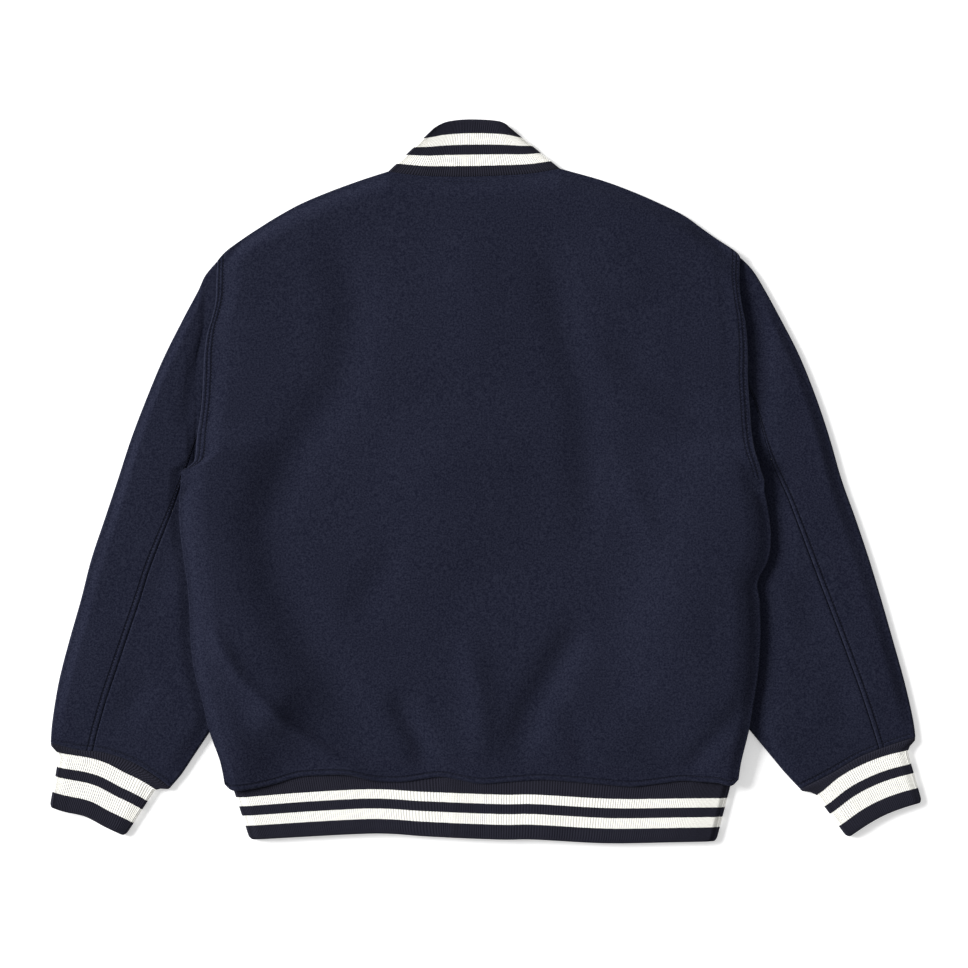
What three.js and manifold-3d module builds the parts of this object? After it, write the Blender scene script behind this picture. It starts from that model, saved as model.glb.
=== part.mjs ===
// Varsity jacket laid flat on its front, so that its back shows.
// Millimetres, +Z up, +Y towards the collar, +X towards the wearer's right sleeve.
// Every piece is a cloth wall: two surfaces over the same outline, joined round the rim.
import * as THREE from "three";
import Module from "manifold-3d";

// Cloth
const WALL = 3;
const LAYER = 3.3;
const SEAM_GAP = 0.3;
const SEAM_SHARE = 0.001;
const PUFF = 3.3;
const RIM_EASE = 14;
const LAP = 6;
const CLEARANCE = 0.6;

// Body over the sleeves
const LIFT = 9.3;
const LIFT_REACH = 62;
const LIFT_SLOPE = 40;
const LIFT_START = 53;
const LIFT_CLIMB = 35;

// Front closing
const CENTRE_X = -13;
const LAP_COLUMNS = 0.4;
const LAP_FLAT_COLUMNS = 0.5;
const NECK_DEPTH_Y = 240;
const COLLAR_FRONT_HEIGHT = 55;
const NECK_SHRINK = 0.988;

// Snap caps
const SNAP_COUNT = 7;
const SNAP_TOP_Y = 214;
const SNAP_BOTTOM_Y = -300;
const SNAP_RADIUS = 7.5;
const SNAP_THICK = 1.4;
const SNAP_FLOOR = 0.25;
const POCKET_RADIUS = 8;
const POCKET_DEPTH = 1.95;

// Ribs of the knitted bands
const RIB_DEPTH = 0.5;
const HEM_RIBS = 226;
const CUFF_RIBS = 45;
const COLLAR_RIBS = 70;

// Colours
const MELTON_COLOUR = 0x262837;
const RIB_COLOUR = 0x26262f;
const SNAP_COLOUR = 0x2a2b33;

// Both edges of the body, from the hem corner up to the shoulder tip.
// Rows from UNDERARM on are armhole, where the back laps over the sleeve.
const UNDERARM = 12;
const BODY_ROWS = [
  { leftX: -276, leftY: -320, rightX: 267, rightY: -315 },
  { leftX: -281, leftY: -295, rightX: 270, rightY: -295 },
  { leftX: -292, leftY: -264, rightX: 278, rightY: -262 },
  { leftX: -300, leftY: -230, rightX: 283, rightY: -232 },
  { leftX: -308, leftY: -200, rightX: 288, rightY: -198 },
  { leftX: -312, leftY: -165, rightX: 290, rightY: -160 },
  { leftX: -313, leftY: -138, rightX: 289, rightY: -126 },
  { leftX: -315, leftY: -110, rightX: 287, rightY: -106 },
  { leftX: -320, leftY: -76, rightX: 298, rightY: -83 },
  { leftX: -323, leftY: -50, rightX: 301, rightY: -58 },
  { leftX: -324, leftY: -24, rightX: 298, rightY: -30 },
  { leftX: -322, leftY: -4, rightX: 294, rightY: -10 },
  { leftX: -321, leftY: 11, rightX: 294, rightY: 1 },
  { leftX: -313, leftY: 16, rightX: 288, rightY: 19 },
  { leftX: -307, leftY: 24, rightX: 284, rightY: 32 },
  { leftX: -305, leftY: 50, rightX: 281, rightY: 52 },
  { leftX: -301, leftY: 80, rightX: 279, rightY: 78 },
  { leftX: -299, leftY: 110, rightX: 277, rightY: 108 },
  { leftX: -298, leftY: 133, rightX: 277, rightY: 131 },
  { leftX: -295, leftY: 155, rightX: 276, rightY: 152 },
  { leftX: -290, leftY: 172, rightX: 274, rightY: 170 },
  { leftX: -286, leftY: 190, rightX: 271, rightY: 184 },
  { leftX: -285, leftY: 212, rightX: 268, rightY: 208 },
  { leftX: -284, leftY: 233, rightX: 269, rightY: 237 },
];

// Shoulder and neck edge above, hem seam below, from the left side to the right.
const NECK_LEFT = 8;
const CENTRE = 11;
const NECK_RIGHT = 14;
const BODY_COLUMNS = [
  { topX: -284, topY: 233, hemX: -276, hemY: -320 },
  { topX: -275, topY: 243, hemX: -267, hemY: -327 },
  { topX: -258, topY: 256, hemX: -246, hemY: -325 },
  { topX: -240, topY: 268, hemX: -222, hemY: -320 },
  { topX: -219, topY: 281, hemX: -198, hemY: -313 },
  { topX: -195, topY: 294, hemX: -171, hemY: -311 },
  { topX: -164, topY: 307, hemX: -145, hemY: -311 },
  { topX: -131, topY: 319, hemX: -118, hemY: -317 },
  { topX: -103, topY: 328, hemX: -88, hemY: -318 },
  { topX: -70, topY: 324, hemX: -50, hemY: -313 },
  { topX: -43, topY: 323, hemX: -28, hemY: -316 },
  { topX: -14, topY: 323, hemX: -5, hemY: -320 },
  { topX: 15, topY: 324, hemX: 25, hemY: -318 },
  { topX: 47, topY: 326, hemX: 60, hemY: -316 },
  { topX: 78, topY: 331, hemX: 92, hemY: -318 },
  { topX: 121, topY: 319, hemX: 126, hemY: -321 },
  { topX: 154, topY: 307, hemX: 155, hemY: -323 },
  { topX: 184, topY: 294, hemX: 183, hemY: -320 },
  { topX: 210, topY: 281, hemX: 208, hemY: -317 },
  { topX: 228, topY: 268, hemX: 228, hemY: -318 },
  { topX: 245, topY: 256, hemX: 245, hemY: -319 },
  { topX: 264, topY: 243, hemX: 259, hemY: -322 },
  { topX: 269, topY: 237, hemX: 267, hemY: -315 },
];

// Outer and inner fold of each sleeve, from the armhole to the cuff seam.
// Seam is the back seam's share of the way from the outer fold to the inner one.
const LEFT_SLEEVE_ROWS = [
  { outerX: -286, outerY: 232, innerX: -307, innerY: 24, seam: 0.897 },
  { outerX: -297, outerY: 218, innerX: -309, innerY: 4, seam: 0.839 },
  { outerX: -305, outerY: 201, innerX: -310.5, innerY: -18, seam: 0.771 },
  { outerX: -321, outerY: 171, innerX: -311, innerY: -40, seam: 0.73 },
  { outerX: -342, outerY: 129, innerX: -310, innerY: -64, seam: 0.69 },
  { outerX: -360, outerY: 86, innerX: -306, innerY: -92, seam: 0.63 },
  { outerX: -376, outerY: 44, innerX: -298, innerY: -122, seam: 0.555 },
  { outerX: -390, outerY: 1, innerX: -286, innerY: -152, seam: 0.473 },
  { outerX: -404, outerY: -41, innerX: -274, innerY: -182, seam: 0.408 },
  { outerX: -418, outerY: -83, innerX: -268, innerY: -214, seam: 0.377 },
  { outerX: -429, outerY: -126, innerX: -279, innerY: -245, seam: 0.369 },
  { outerX: -441, outerY: -168, innerX: -292, innerY: -265, seam: 0.378 },
  { outerX: -452, outerY: -211, innerX: -308, innerY: -289, seam: 0.387 },
  { outerX: -459, outerY: -253, innerX: -322, innerY: -310, seam: 0.39 },
  { outerX: -461, outerY: -278, innerX: -334, innerY: -325, seam: 0.399 },
];
const RIGHT_SLEEVE_ROWS = [
  { outerX: 271, outerY: 236, innerX: 284, innerY: 32, seam: 0.668 },
  { outerX: 282, outerY: 224, innerX: 287, innerY: 14, seam: 0.666 },
  { outerX: 294, outerY: 205, innerX: 289, innerY: -4, seam: 0.665 },
  { outerX: 311, outerY: 174, innerX: 288.6, innerY: -24, seam: 0.657 },
  { outerX: 332, outerY: 133, innerX: 286.5, innerY: -46, seam: 0.632 },
  { outerX: 350, outerY: 88, innerX: 281, innerY: -72, seam: 0.561 },
  { outerX: 364, outerY: 46, innerX: 271, innerY: -100, seam: 0.476 },
  { outerX: 377, outerY: 1, innerX: 258, innerY: -130, seam: 0.398 },
  { outerX: 392, outerY: -41, innerX: 246, innerY: -160, seam: 0.348 },
  { outerX: 406, outerY: -83, innerX: 242, innerY: -195, seam: 0.313 },
  { outerX: 419, outerY: -126, innerX: 257, innerY: -238, seam: 0.301 },
  { outerX: 431, outerY: -168, innerX: 277, innerY: -261, seam: 0.309 },
  { outerX: 443, outerY: -211, innerX: 297, innerY: -285, seam: 0.318 },
  { outerX: 452, outerY: -250, innerX: 316, innerY: -308, seam: 0.326 },
  { outerX: 455, outerY: -272, innerX: 333, innerY: -327, seam: 0.337 },
];

// Seam between sleeve and cuff, and the cuff's free edge, from the outer fold to the inner one.
const LEFT_CUFF_ROWS = [
  { clothX: -461, clothY: -278, freeX: -462, freeY: -345 },
  { clothX: -435, clothY: -285, freeX: -446, freeY: -350 },
  { clothX: -403, clothY: -289, freeX: -424, freeY: -355 },
  { clothX: -370, clothY: -301, freeX: -403, freeY: -366 },
  { clothX: -334, clothY: -325, freeX: -382, freeY: -376 },
];
const RIGHT_CUFF_ROWS = [
  { clothX: 455, clothY: -272, freeX: 462, freeY: -340 },
  { clothX: 427, clothY: -281, freeX: 444, freeY: -345 },
  { clothX: 396, clothY: -293, freeX: 423, freeY: -353 },
  { clothX: 365, clothY: -311, freeX: 403, freeY: -364 },
  { clothX: 333, clothY: -327, freeX: 383, freeY: -378 },
];

// Free edge of the hem rib and of the collar's back half, from left to right.
const HEM_FREE_EDGE = [
  { x: -250, y: -379.5 },
  { x: -141, y: -373.5 },
  { x: -101, y: -373 },
  { x: -59, y: -376 },
  { x: 15, y: -379 },
  { x: 51, y: -379 },
  { x: 126, y: -383 },
  { x: 201, y: -382 },
  { x: 244, y: -381 },
];
const COLLAR_FREE_EDGE = [
  { x: -55, y: 374 },
  { x: -41, y: 380.5 },
  { x: -17, y: 383 },
  { x: 14, y: 381 },
  { x: 26, y: 374 },
];

// Creases and soft mounds: a stretch of the cloth, how far it rises, and its half width.
const BACK_FOLDS = [
  { fromX: -303, fromY: -164, toX: -261, toY: -198, rise: 4, width: 15 },
  { fromX: -261, fromY: -198, toX: -218, toY: -249, rise: 6, width: 15 },
  { fromX: -218, fromY: -249, toX: -160, toY: -296, rise: 5, width: 15 },
  { fromX: -261, fromY: -96, toX: -218, toY: -168, rise: -2, width: 16 },
  { fromX: -218, fromY: -168, toX: -163, toY: -253, rise: -2.5, width: 16 },
  { fromX: -91, fromY: -223, toX: -61, toY: -295, rise: -2.5, width: 14 },
  { fromX: 112, fromY: -168, toX: 57, toY: -198, rise: -2, width: 16 },
  { fromX: 57, fromY: -198, toX: 15, toY: -274, rise: -2.5, width: 16 },
  { fromX: 278, fromY: -228, toX: 206, toY: -304, rise: -2.5, width: 15 },
  { fromX: -165, fromY: 213, toX: -197, toY: 86, rise: -2, width: 30 },
  { fromX: -197, fromY: 86, toX: -229, toY: 1, rise: -2, width: 30 },
  { fromX: 94, fromY: 33, toX: 60, toY: -150, rise: -1.5, width: 28 },
  { fromX: -165, fromY: -10, toX: -140, toY: -40, rise: 3, width: 45 },
  { fromX: 60, fromY: 262, toX: 100, toY: 255, rise: 2.5, width: 40 },
  { fromX: 121, fromY: 20, toX: 125, toY: -30, rise: 3, width: 42 },
  { fromX: -59, fromY: -110, toX: -55, toY: -140, rise: 2.5, width: 45 },
  { fromX: 216, fromY: -20, toX: 214, toY: -70, rise: 2.5, width: 40 },
];
const SLEEVE_FOLDS = [
  { fromX: -312, fromY: 130, toX: -335, toY: 60, rise: 3.5, width: 20 },
  { fromX: -352, fromY: 10, toX: -372, toY: -90, rise: 2.5, width: 26 },
  { fromX: -405, fromY: -150, toX: -425, toY: -230, rise: 2, width: 24 },
  { fromX: 300, fromY: 165, toX: 318, toY: 95, rise: 6, width: 18 },
  { fromX: 318, fromY: 95, toX: 340, toY: 10, rise: 4, width: 22 },
  { fromX: 360, fromY: -60, toX: 385, toY: -130, rise: 3, width: 26 },
  { fromX: 400, fromY: -170, toX: 420, toY: -240, rise: 2, width: 24 },
];

const wasm = await Module();
wasm.setup();

// Curves and blends
const mix = (a, b, t) => a + (b - a) * t;
const clamp = (value) => Math.min(1, Math.max(0, value));
const smooth = (value) => clamp(value) ** 2 * (3 - 2 * clamp(value));

// A named value of a table at a fractional row, on straight lines between rows.
function tableAt(rows, index, name) {
  const low = Math.min(rows.length - 2, Math.floor(index));
  return mix(rows[low][name], rows[low + 1][name], index - low);
}

// A point on the smooth curve through a table's points, at a share of the way along it.
function curveAt(rows, share, nameX, nameY) {
  const points = rows.map((row) => new THREE.Vector2(row[nameX], row[nameY]));
  return new THREE.SplineCurve(points).getPoint(clamp(share));
}

// The share of the way at each row, by distance.
function rowShares(rows, nameX, nameY) {
  const shares = [0];
  for (let i = 1; i < rows.length; i += 1) {
    const step = Math.hypot(rows[i][nameX] - rows[i - 1][nameX], rows[i][nameY] - rows[i - 1][nameY]);
    shares.push(shares[i - 1] + step);
  }
  return shares.map((share) => share / shares[rows.length - 1]);
}

// How far creases lift the cloth at a point: each fades with distance like a bell, and the
// highest ridge and the deepest trough count.
function foldRise(folds, x, y) {
  let ridge = 0;
  let trough = 0;
  for (const fold of folds) {
    const alongX = fold.toX - fold.fromX;
    const alongY = fold.toY - fold.fromY;
    const reach = (x - fold.fromX) * alongX + (y - fold.fromY) * alongY;
    const t = clamp(reach / (alongX ** 2 + alongY ** 2));
    const distance = Math.hypot(x - fold.fromX - t * alongX, y - fold.fromY - t * alongY);
    const rise = fold.rise * Math.exp(-((distance / fold.width) ** 2));
    ridge = Math.max(ridge, rise);
    trough = Math.min(trough, rise);
  }
  return ridge + trough;
}

// The sleeve's inner fold at a height on the photo's upright axis.
function innerFoldX(rows, y) {
  for (let i = 1; i < rows.length; i += 1) {
    if (y >= rows[i].innerY) {
      const t = clamp((rows[i - 1].innerY - y) / (rows[i - 1].innerY - rows[i].innerY));
      return mix(rows[i - 1].innerX, rows[i].innerX, t);
    }
  }
  return rows[rows.length - 1].innerX;
}

// How far the body is lifted where it lies over a sleeve.
function bodyLift(x, y) {
  const left = x < 0;
  const rows = left ? LEFT_SLEEVE_ROWS : RIGHT_SLEEVE_ROWS;
  const underarm = left ? BODY_ROWS[UNDERARM].leftY : BODY_ROWS[UNDERARM].rightY;
  const past = left ? x - innerFoldX(rows, y) : innerFoldX(rows, y) - x;
  return LIFT * smooth((LIFT_REACH - past) / LIFT_SLOPE) * smooth((underarm + LIFT_START - y) / LIFT_CLIMB);
}

// How far the right front is lifted where it lies on the left one at the centre.
const lapLift = (column) => LAYER * smooth(CENTRE + LAP_FLAT_COLUMNS + 1 - column);

// Body outline: a patch stretched between its four edges.
const rowCount = BODY_ROWS.length - 1;
const columnCount = BODY_COLUMNS.length - 1;
const hemStart = BODY_COLUMNS[0].hemX;
const hemWidth = BODY_COLUMNS[columnCount].hemX - hemStart;
const sideStart = BODY_ROWS[0].leftY;
const sideHeight = BODY_ROWS[rowCount].leftY - sideStart;
const neckHalf = CENTRE_X - BODY_COLUMNS[NECK_LEFT].topX;

function backTop(column) {
  return [tableAt(BODY_COLUMNS, column, "topX"), tableAt(BODY_COLUMNS, column, "topY")];
}

// The front neckline is half an ellipse below the neck points.
function frontTop(column) {
  const [x, y] = backTop(column);
  if (column <= NECK_LEFT || column >= NECK_RIGHT) {
    return [x, y];
  }
  const dip = Math.sqrt(1 - clamp(Math.abs(x - CENTRE_X) / neckHalf) ** 2);
  return [x, mix(y, NECK_DEPTH_Y, dip)];
}

function bodyPoint(column, row, topEdge) {
  const u = (tableAt(BODY_COLUMNS, column, "hemX") - hemStart) / hemWidth;
  const v = (tableAt(BODY_ROWS, row, "leftY") - sideStart) / sideHeight;
  const [topX, topY] = topEdge(column);
  const first = BODY_ROWS[0];
  const last = BODY_ROWS[rowCount];
  const edgeX = mix(tableAt(BODY_ROWS, row, "leftX"), tableAt(BODY_ROWS, row, "rightX"), u);
  const edgeY = mix(tableAt(BODY_ROWS, row, "leftY"), tableAt(BODY_ROWS, row, "rightY"), u);
  const cornerX = mix(mix(first.leftX, first.rightX, u), mix(last.leftX, last.rightX, u), v);
  const cornerY = mix(mix(first.leftY, first.rightY, u), mix(last.leftY, last.rightY, u), v);
  const spanX = mix(tableAt(BODY_COLUMNS, column, "hemX"), topX, v);
  const spanY = mix(tableAt(BODY_COLUMNS, column, "hemY"), topY, v);
  return [spanX + edgeX - cornerX, spanY + edgeY - cornerY];
}

// The back's underside: down on the front at side, shoulder and neck, up over the sleeve at the armhole.
function backUnderside(column, row, x, y) {
  const left = bodyPoint(0, row, backTop)[0];
  const right = bodyPoint(columnCount, row, backTop)[0];
  const inside = Math.min(x - left, right - x);
  const armhole = smooth(row - UNDERARM + 2);
  const sideEase = Math.max(armhole, smooth(inside / RIM_EASE));
  const topEase = smooth((backTop(column)[1] - y) / RIM_EASE);
  const tipEase = smooth((30 - inside) / 20);
  const ease = Math.min(sideEase, Math.max(topEase, tipEase));
  const floor = LAYER + bodyLift(x, y);
  const puffed = floor + ease * (PUFF + foldRise(BACK_FOLDS, x, y));
  const overLap = Math.abs(column - CENTRE - LAP_FLAT_COLUMNS) < 2 ? LAYER : 0;
  return Math.max(puffed, floor + ease * Math.max(CLEARANCE, overLap));
}

// A solid wall from an outer and an inner grid of points, which may differ in fineness.
function wallGeometry(outer, inner) {
  const positions = [];
  const triangles = [];
  const number = (grid) => grid.map((line) => line.map((point) => {
    positions.push(...point);
    return positions.length / 3 - 1;
  }));
  const outerIds = number(outer);
  const innerIds = number(inner);
  const cover = (ids, turned) => {
    for (let j = 0; j + 1 < ids.length; j += 1) {
      for (let i = 0; i + 1 < ids[j].length; i += 1) {
        const [a, b, c, d] = [ids[j][i], ids[j][i + 1], ids[j + 1][i + 1], ids[j + 1][i]];
        triangles.push(...(turned ? [a, c, b, a, d, c] : [a, b, c, a, c, d]));
      }
    }
  };
  cover(outerIds, false);
  cover(innerIds, true);
  const apart = (a, b) => Math.hypot(...[0, 1, 2].map((k) => positions[3 * a + k] - positions[3 * b + k]));
  const lace = (upper, lower) => {
    let i = 0;
    let k = 0;
    while (i < upper.length - 1 || k < lower.length - 1) {
      const upperDone = i === upper.length - 1;
      const lowerDone = k === lower.length - 1;
      const nearer = !upperDone && !lowerDone && apart(upper[i + 1], lower[k]) <= apart(upper[i], lower[k + 1]);
      if (lowerDone || nearer) {
        triangles.push(upper[i + 1], upper[i], lower[k]);
        i += 1;
      } else {
        triangles.push(upper[i], lower[k], lower[k + 1]);
        k += 1;
      }
    }
  };
  const firstOf = (ids) => ids.map((line) => line[0]);
  const lastOf = (ids) => ids.map((line) => line[line.length - 1]);
  lace(outerIds[0], innerIds[0]);
  lace([...outerIds[outerIds.length - 1]].reverse(), [...innerIds[innerIds.length - 1]].reverse());
  lace(lastOf(outerIds), lastOf(innerIds));
  lace(firstOf(outerIds).reverse(), firstOf(innerIds).reverse());
  const geometry = new THREE.BufferGeometry();
  geometry.setAttribute("position", new THREE.Float32BufferAttribute(positions, 3));
  geometry.setIndex(signedVolume(positions, triangles) < 0 ? triangles.reverse() : triangles);
  geometry.computeVertexNormals();
  return geometry;
}

function signedVolume(positions, triangles) {
  let sum = 0;
  const corner = (id) => new THREE.Vector3().fromArray(positions, id * 3);
  for (let k = 0; k < triangles.length; k += 3) {
    const [a, b, c] = [corner(triangles[k]), corner(triangles[k + 1]), corner(triangles[k + 2])];
    sum += a.dot(b.cross(c));
  }
  return sum;
}

// Numbers from first to last in equal steps.
const steps = (first, last, count) => Array.from({ length: count + 1 }, (_, i) => mix(first, last, i / count));

// Grid of points over lists of columns and rows.
const grid = (columns, rows, at) => rows.map((row) => columns.map((column) => at(column, row)));

// Materials and nodes
const jacket = new THREE.Group();
const melton = () => new THREE.MeshStandardMaterial({ color: MELTON_COLOUR, roughness: 0.95, metalness: 0 });
const rib = () => new THREE.MeshStandardMaterial({ color: RIB_COLOUR, roughness: 0.9, metalness: 0 });
const snapMetal = () => new THREE.MeshStandardMaterial({ color: SNAP_COLOUR, roughness: 0.4, metalness: 0.6 });

function addPiece(name, geometry, material) {
  const mesh = new THREE.Mesh(geometry, material);
  mesh.name = name;
  jacket.add(mesh);
}

// Back panel
function makeBack() {
  const at = (rise) => (column, row) => {
    const [x, y] = bodyPoint(column, row, backTop);
    return [x, y, backUnderside(column, row, x, y) + rise];
  };
  const rows = steps(0, rowCount, rowCount);
  const outer = grid(steps(0, columnCount, columnCount * 2), rows, at(WALL));
  const inner = grid(steps(0, columnCount, columnCount), rows, at(0));
  return wallGeometry(outer, inner);
}

// Front panels
const LEFT_FRONT_COLUMNS = [...steps(0, 8, 8), 8.25, 8.5, 9, 10, 11, CENTRE + LAP_COLUMNS];
const RIGHT_FRONT_COLUMNS = [CENTRE - LAP_COLUMNS, 11, 11.5, 12, 12.5, 13, 13.5, 13.75, ...steps(14, 22, 8)];

function makeFront(columns, lift) {
  const at = (rise) => (column, row) => {
    const [x, y] = bodyPoint(column, row, frontTop);
    return [x, y, bodyLift(x, y) + lift(column) + rise];
  };
  const rows = steps(0, rowCount, rowCount);
  return wallGeometry(grid(columns, rows, at(0)), grid(columns, rows, at(WALL)));
}

// Snap caps, each in a shallow dent of the left front
function closedSolid(geometry) {
  const mesh = new wasm.Mesh({
    numProp: 3,
    vertProperties: Float32Array.from(geometry.attributes.position.array),
    triVerts: Uint32Array.from(geometry.index.array),
  });
  return new wasm.Manifold(mesh);
}

function fromSolid(solid) {
  const mesh = solid.getMesh();
  const geometry = new THREE.BufferGeometry();
  geometry.setAttribute("position", new THREE.Float32BufferAttribute(mesh.vertProperties, 3));
  geometry.setIndex(Array.from(mesh.triVerts));
  geometry.computeVertexNormals();
  return geometry;
}

// A turned body on an upright axis, closed at both ends on the axis.
function turned(profile, sides) {
  const positions = [];
  const triangles = [];
  const rings = profile.slice(1, -1);
  positions.push(0, 0, profile[0][1], 0, 0, profile[profile.length - 1][1]);
  rings.forEach(([radius, z]) => {
    for (let i = 0; i < sides; i += 1) {
      const angle = (2 * Math.PI * i) / sides;
      positions.push(radius * Math.cos(angle), radius * Math.sin(angle), z);
    }
  });
  for (let i = 0; i < sides; i += 1) {
    const next = (i + 1) % sides;
    const top = 2 + (rings.length - 1) * sides;
    triangles.push(0, 2 + next, 2 + i, 1, top + i, top + next);
    for (let k = 0; k + 1 < rings.length; k += 1) {
      const base = 2 + k * sides;
      triangles.push(base + i, base + next, base + sides + next);
      triangles.push(base + i, base + sides + next, base + sides + i);
    }
  }
  const geometry = new THREE.BufferGeometry();
  geometry.setAttribute("position", new THREE.Float32BufferAttribute(positions, 3));
  geometry.setIndex(triangles);
  geometry.computeVertexNormals();
  return geometry;
}

const snapPlaces = steps(SNAP_TOP_Y, SNAP_BOTTOM_Y, SNAP_COUNT - 1).map((y) => {
  const down = (NECK_DEPTH_Y - y) / (NECK_DEPTH_Y - BODY_COLUMNS[CENTRE].hemY);
  return [mix(BODY_COLUMNS[CENTRE].topX, BODY_COLUMNS[CENTRE].hemX, down), y];
});

function dentedFront(geometry) {
  let solid = closedSolid(geometry);
  for (const [x, y] of snapPlaces) {
    const dent = turned([[0, -1], [POCKET_RADIUS, -1], [POCKET_RADIUS, POCKET_DEPTH], [0, POCKET_DEPTH]], 16);
    dent.translate(x, y, 0);
    solid = solid.subtract(closedSolid(dent));
  }
  return fromSolid(solid);
}

function makeSnap([x, y]) {
  const top = SNAP_FLOOR + SNAP_THICK;
  const middle = SNAP_FLOOR + SNAP_THICK * 0.45;
  const profile = [[0, SNAP_FLOOR], [4.5, SNAP_FLOOR + 0.1], [SNAP_RADIUS, middle], [SNAP_RADIUS, top], [0, top]];
  const cap = turned(profile, 16);
  cap.translate(x, y, 0);
  return cap;
}

// Flat tubes: two layers that meet in round folds at shares 0 and 1 of the width
const TUBE_RADIUS = (LAYER + WALL) / 2;
const FOLD_STEPS = 4;
const FOLD_SHIFT_REACH = 0.12;
const TANGENT_STEP = 0.03;
const flatUp = (t) => ({ t, angle: Math.PI / 2 });
const flatDown = (t) => ({ t, angle: -Math.PI / 2 });
const foldAt = (t, from, to) => steps(from, to, FOLD_STEPS).map((angle) => ({ t, angle, fold: true }));
const overLeftFold = foldAt(0, -Math.PI / 2, Math.PI / 2);
const overRightFold = foldAt(1, Math.PI / 2, -Math.PI / 2);

// One point of a tube's wall: in plan on its piece, out at a fold, and up on the upper layer.
function tubePoint(station, radius, plan, puff) {
  const [x, y] = plan(station.t);
  const [x0, y0] = plan(Math.max(0, station.t - TANGENT_STEP));
  const [x1, y1] = plan(Math.min(1, station.t + TANGENT_STEP));
  const length = Math.hypot(x1 - x0, y1 - y0);
  const nearStart = Math.max(0, 1 - station.t / FOLD_SHIFT_REACH);
  const nearEnd = Math.max(0, 1 - (1 - station.t) / FOLD_SHIFT_REACH);
  const turn = station.fold ? Math.cos(station.angle) * radius : 0;
  const shift = (TUBE_RADIUS - turn) * (nearStart - nearEnd);
  const px = x + (shift * (x1 - x0)) / length;
  const py = y + (shift * (y1 - y0)) / length;
  const width = Math.hypot(plan(1)[0] - plan(0)[0], plan(1)[1] - plan(0)[1]);
  const upwards = Math.max(0, Math.sin(station.angle));
  const inside = Math.min(station.t, 1 - station.t) * width;
  return [px, py, TUBE_RADIUS + radius * Math.sin(station.angle) + upwards * puff(px, py, inside)];
}

// Sleeves
const FRONT_SEAM_ROW = 6;
const SLEEVE_END_ROW = UNDERARM + 2;
const LAP_END_SHARE = 0.64;
const LAP_FADE = 0.087;
const CUFF_GAP = 0.9;

function makeSleeve(rows, cuffRows, side, part) {
  const armhole = BODY_ROWS.slice(SLEEVE_END_ROW).reverse().map((row) => (
    side < 0 ? { x: row.leftX, y: row.leftY } : { x: row.rightX, y: row.rightY }
  ));
  const acrossShares = rowShares(armhole, "x", "y");
  const outerShares = rowShares(rows, "outerX", "outerY");
  const innerShares = rowShares(rows, "innerX", "innerY");
  const lastRow = rows.length - 1;
  const lastAcross = armhole.length - 1;

  // The armhole's own bend fades from there to the cuff, and the cuff's bend the other way.
  const plan = (row) => (t) => {
    const index = tableIndex(acrossShares, t);
    const startX = tableAt(armhole, index, "x");
    const startY = tableAt(armhole, index, "y");
    if (row === 0) {
      return [startX, startY];
    }
    const s = mix(outerShares[row], innerShares[row], 0.5);
    const end = curveAt(cuffRows, t, "clothX", "clothY");
    const startBend = 1 - s;
    const x = mix(rows[row].outerX, rows[row].innerX, t)
      + startBend * (startX - mix(armhole[0].x, armhole[lastAcross].x, t))
      + s * (end.x - mix(rows[lastRow].outerX, rows[lastRow].innerX, t));
    const y = mix(rows[row].outerY, rows[row].innerY, t)
      + startBend * (startY - mix(armhole[0].y, armhole[lastAcross].y, t))
      + s * (end.y - mix(rows[lastRow].outerY, rows[lastRow].innerY, t));
    return [x, y];
  };

  // At the armhole the upper layer runs in under the back, and the lower one stops short of the front.
  const endShift = (station, t, row) => {
    if (row === lastRow) {
      return [0, CUFF_GAP];
    }
    if (row > 0) {
      return [0, 0];
    }
    const [ax, ay] = plan(0)(Math.max(0, t - 0.02));
    const [bx, by] = plan(0)(Math.min(1, t + 0.02));
    const length = Math.hypot(bx - ax, by - ay);
    const under = Math.max(0, Math.sin(station.angle)) * smooth(t / LAP_FADE)
      * smooth((LAP_END_SHARE - t) / LAP_FADE);
    const move = (-side * mix(-SEAM_GAP - 0.1, LAP, under)) / length;
    return [move * (ay - by), move * (bx - ax)];
  };

  const shareOf = (station, row) => {
    if (!station.fromSeam) {
      return station.t;
    }
    return part === "top" ? mix(rows[row].seam - SEAM_SHARE, 0, station.t) : mix(rows[row].seam + SEAM_SHARE, 1, station.t);
  };

  const upperLayer = (count) => steps(0, 1, count).slice(0, -1).map((t) => ({ ...flatUp(t), fromSeam: true }));
  const lowerLayer = (from) => {
    const indexes = steps(from, FRONT_SEAM_ROW, Math.abs(FRONT_SEAM_ROW - from));
    return indexes.map((index) => flatDown(acrossShares[index] + (index === FRONT_SEAM_ROW && from > index ? SEAM_SHARE : 0)));
  };
  const stations = part === "top"
    ? [...upperLayer(6), ...foldAt(0, Math.PI / 2, -Math.PI / 2), ...lowerLayer(1)]
    : [...upperLayer(5), ...overRightFold, ...lowerLayer(lastAcross - 1)];

  const at = (radius) => (station, row) => {
    const t = shareOf(station, row);
    const ease = clamp(Math.min(row - 1, lastRow - row) / 2);
    const puff = (x, y, inside) => ease * sleevePuff(x, y, inside);
    const [x, y, z] = tubePoint({ ...station, t }, radius, plan(row), puff);
    const [dx, dy] = endShift(station, t, row);
    return [x + dx, y + dy, z];
  };
  const rowList = steps(0, lastRow, lastRow);
  return wallGeometry(grid(stations, rowList, at(TUBE_RADIUS)), grid(stations, rowList, at(TUBE_RADIUS - WALL)));
}

// The fractional row of a rising list at which a value lies.
function tableIndex(shares, value) {
  let low = 0;
  while (low < shares.length - 2 && shares[low + 1] < value) {
    low += 1;
  }
  return low + (value - shares[low]) / (shares[low + 1] - shares[low]);
}

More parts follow.
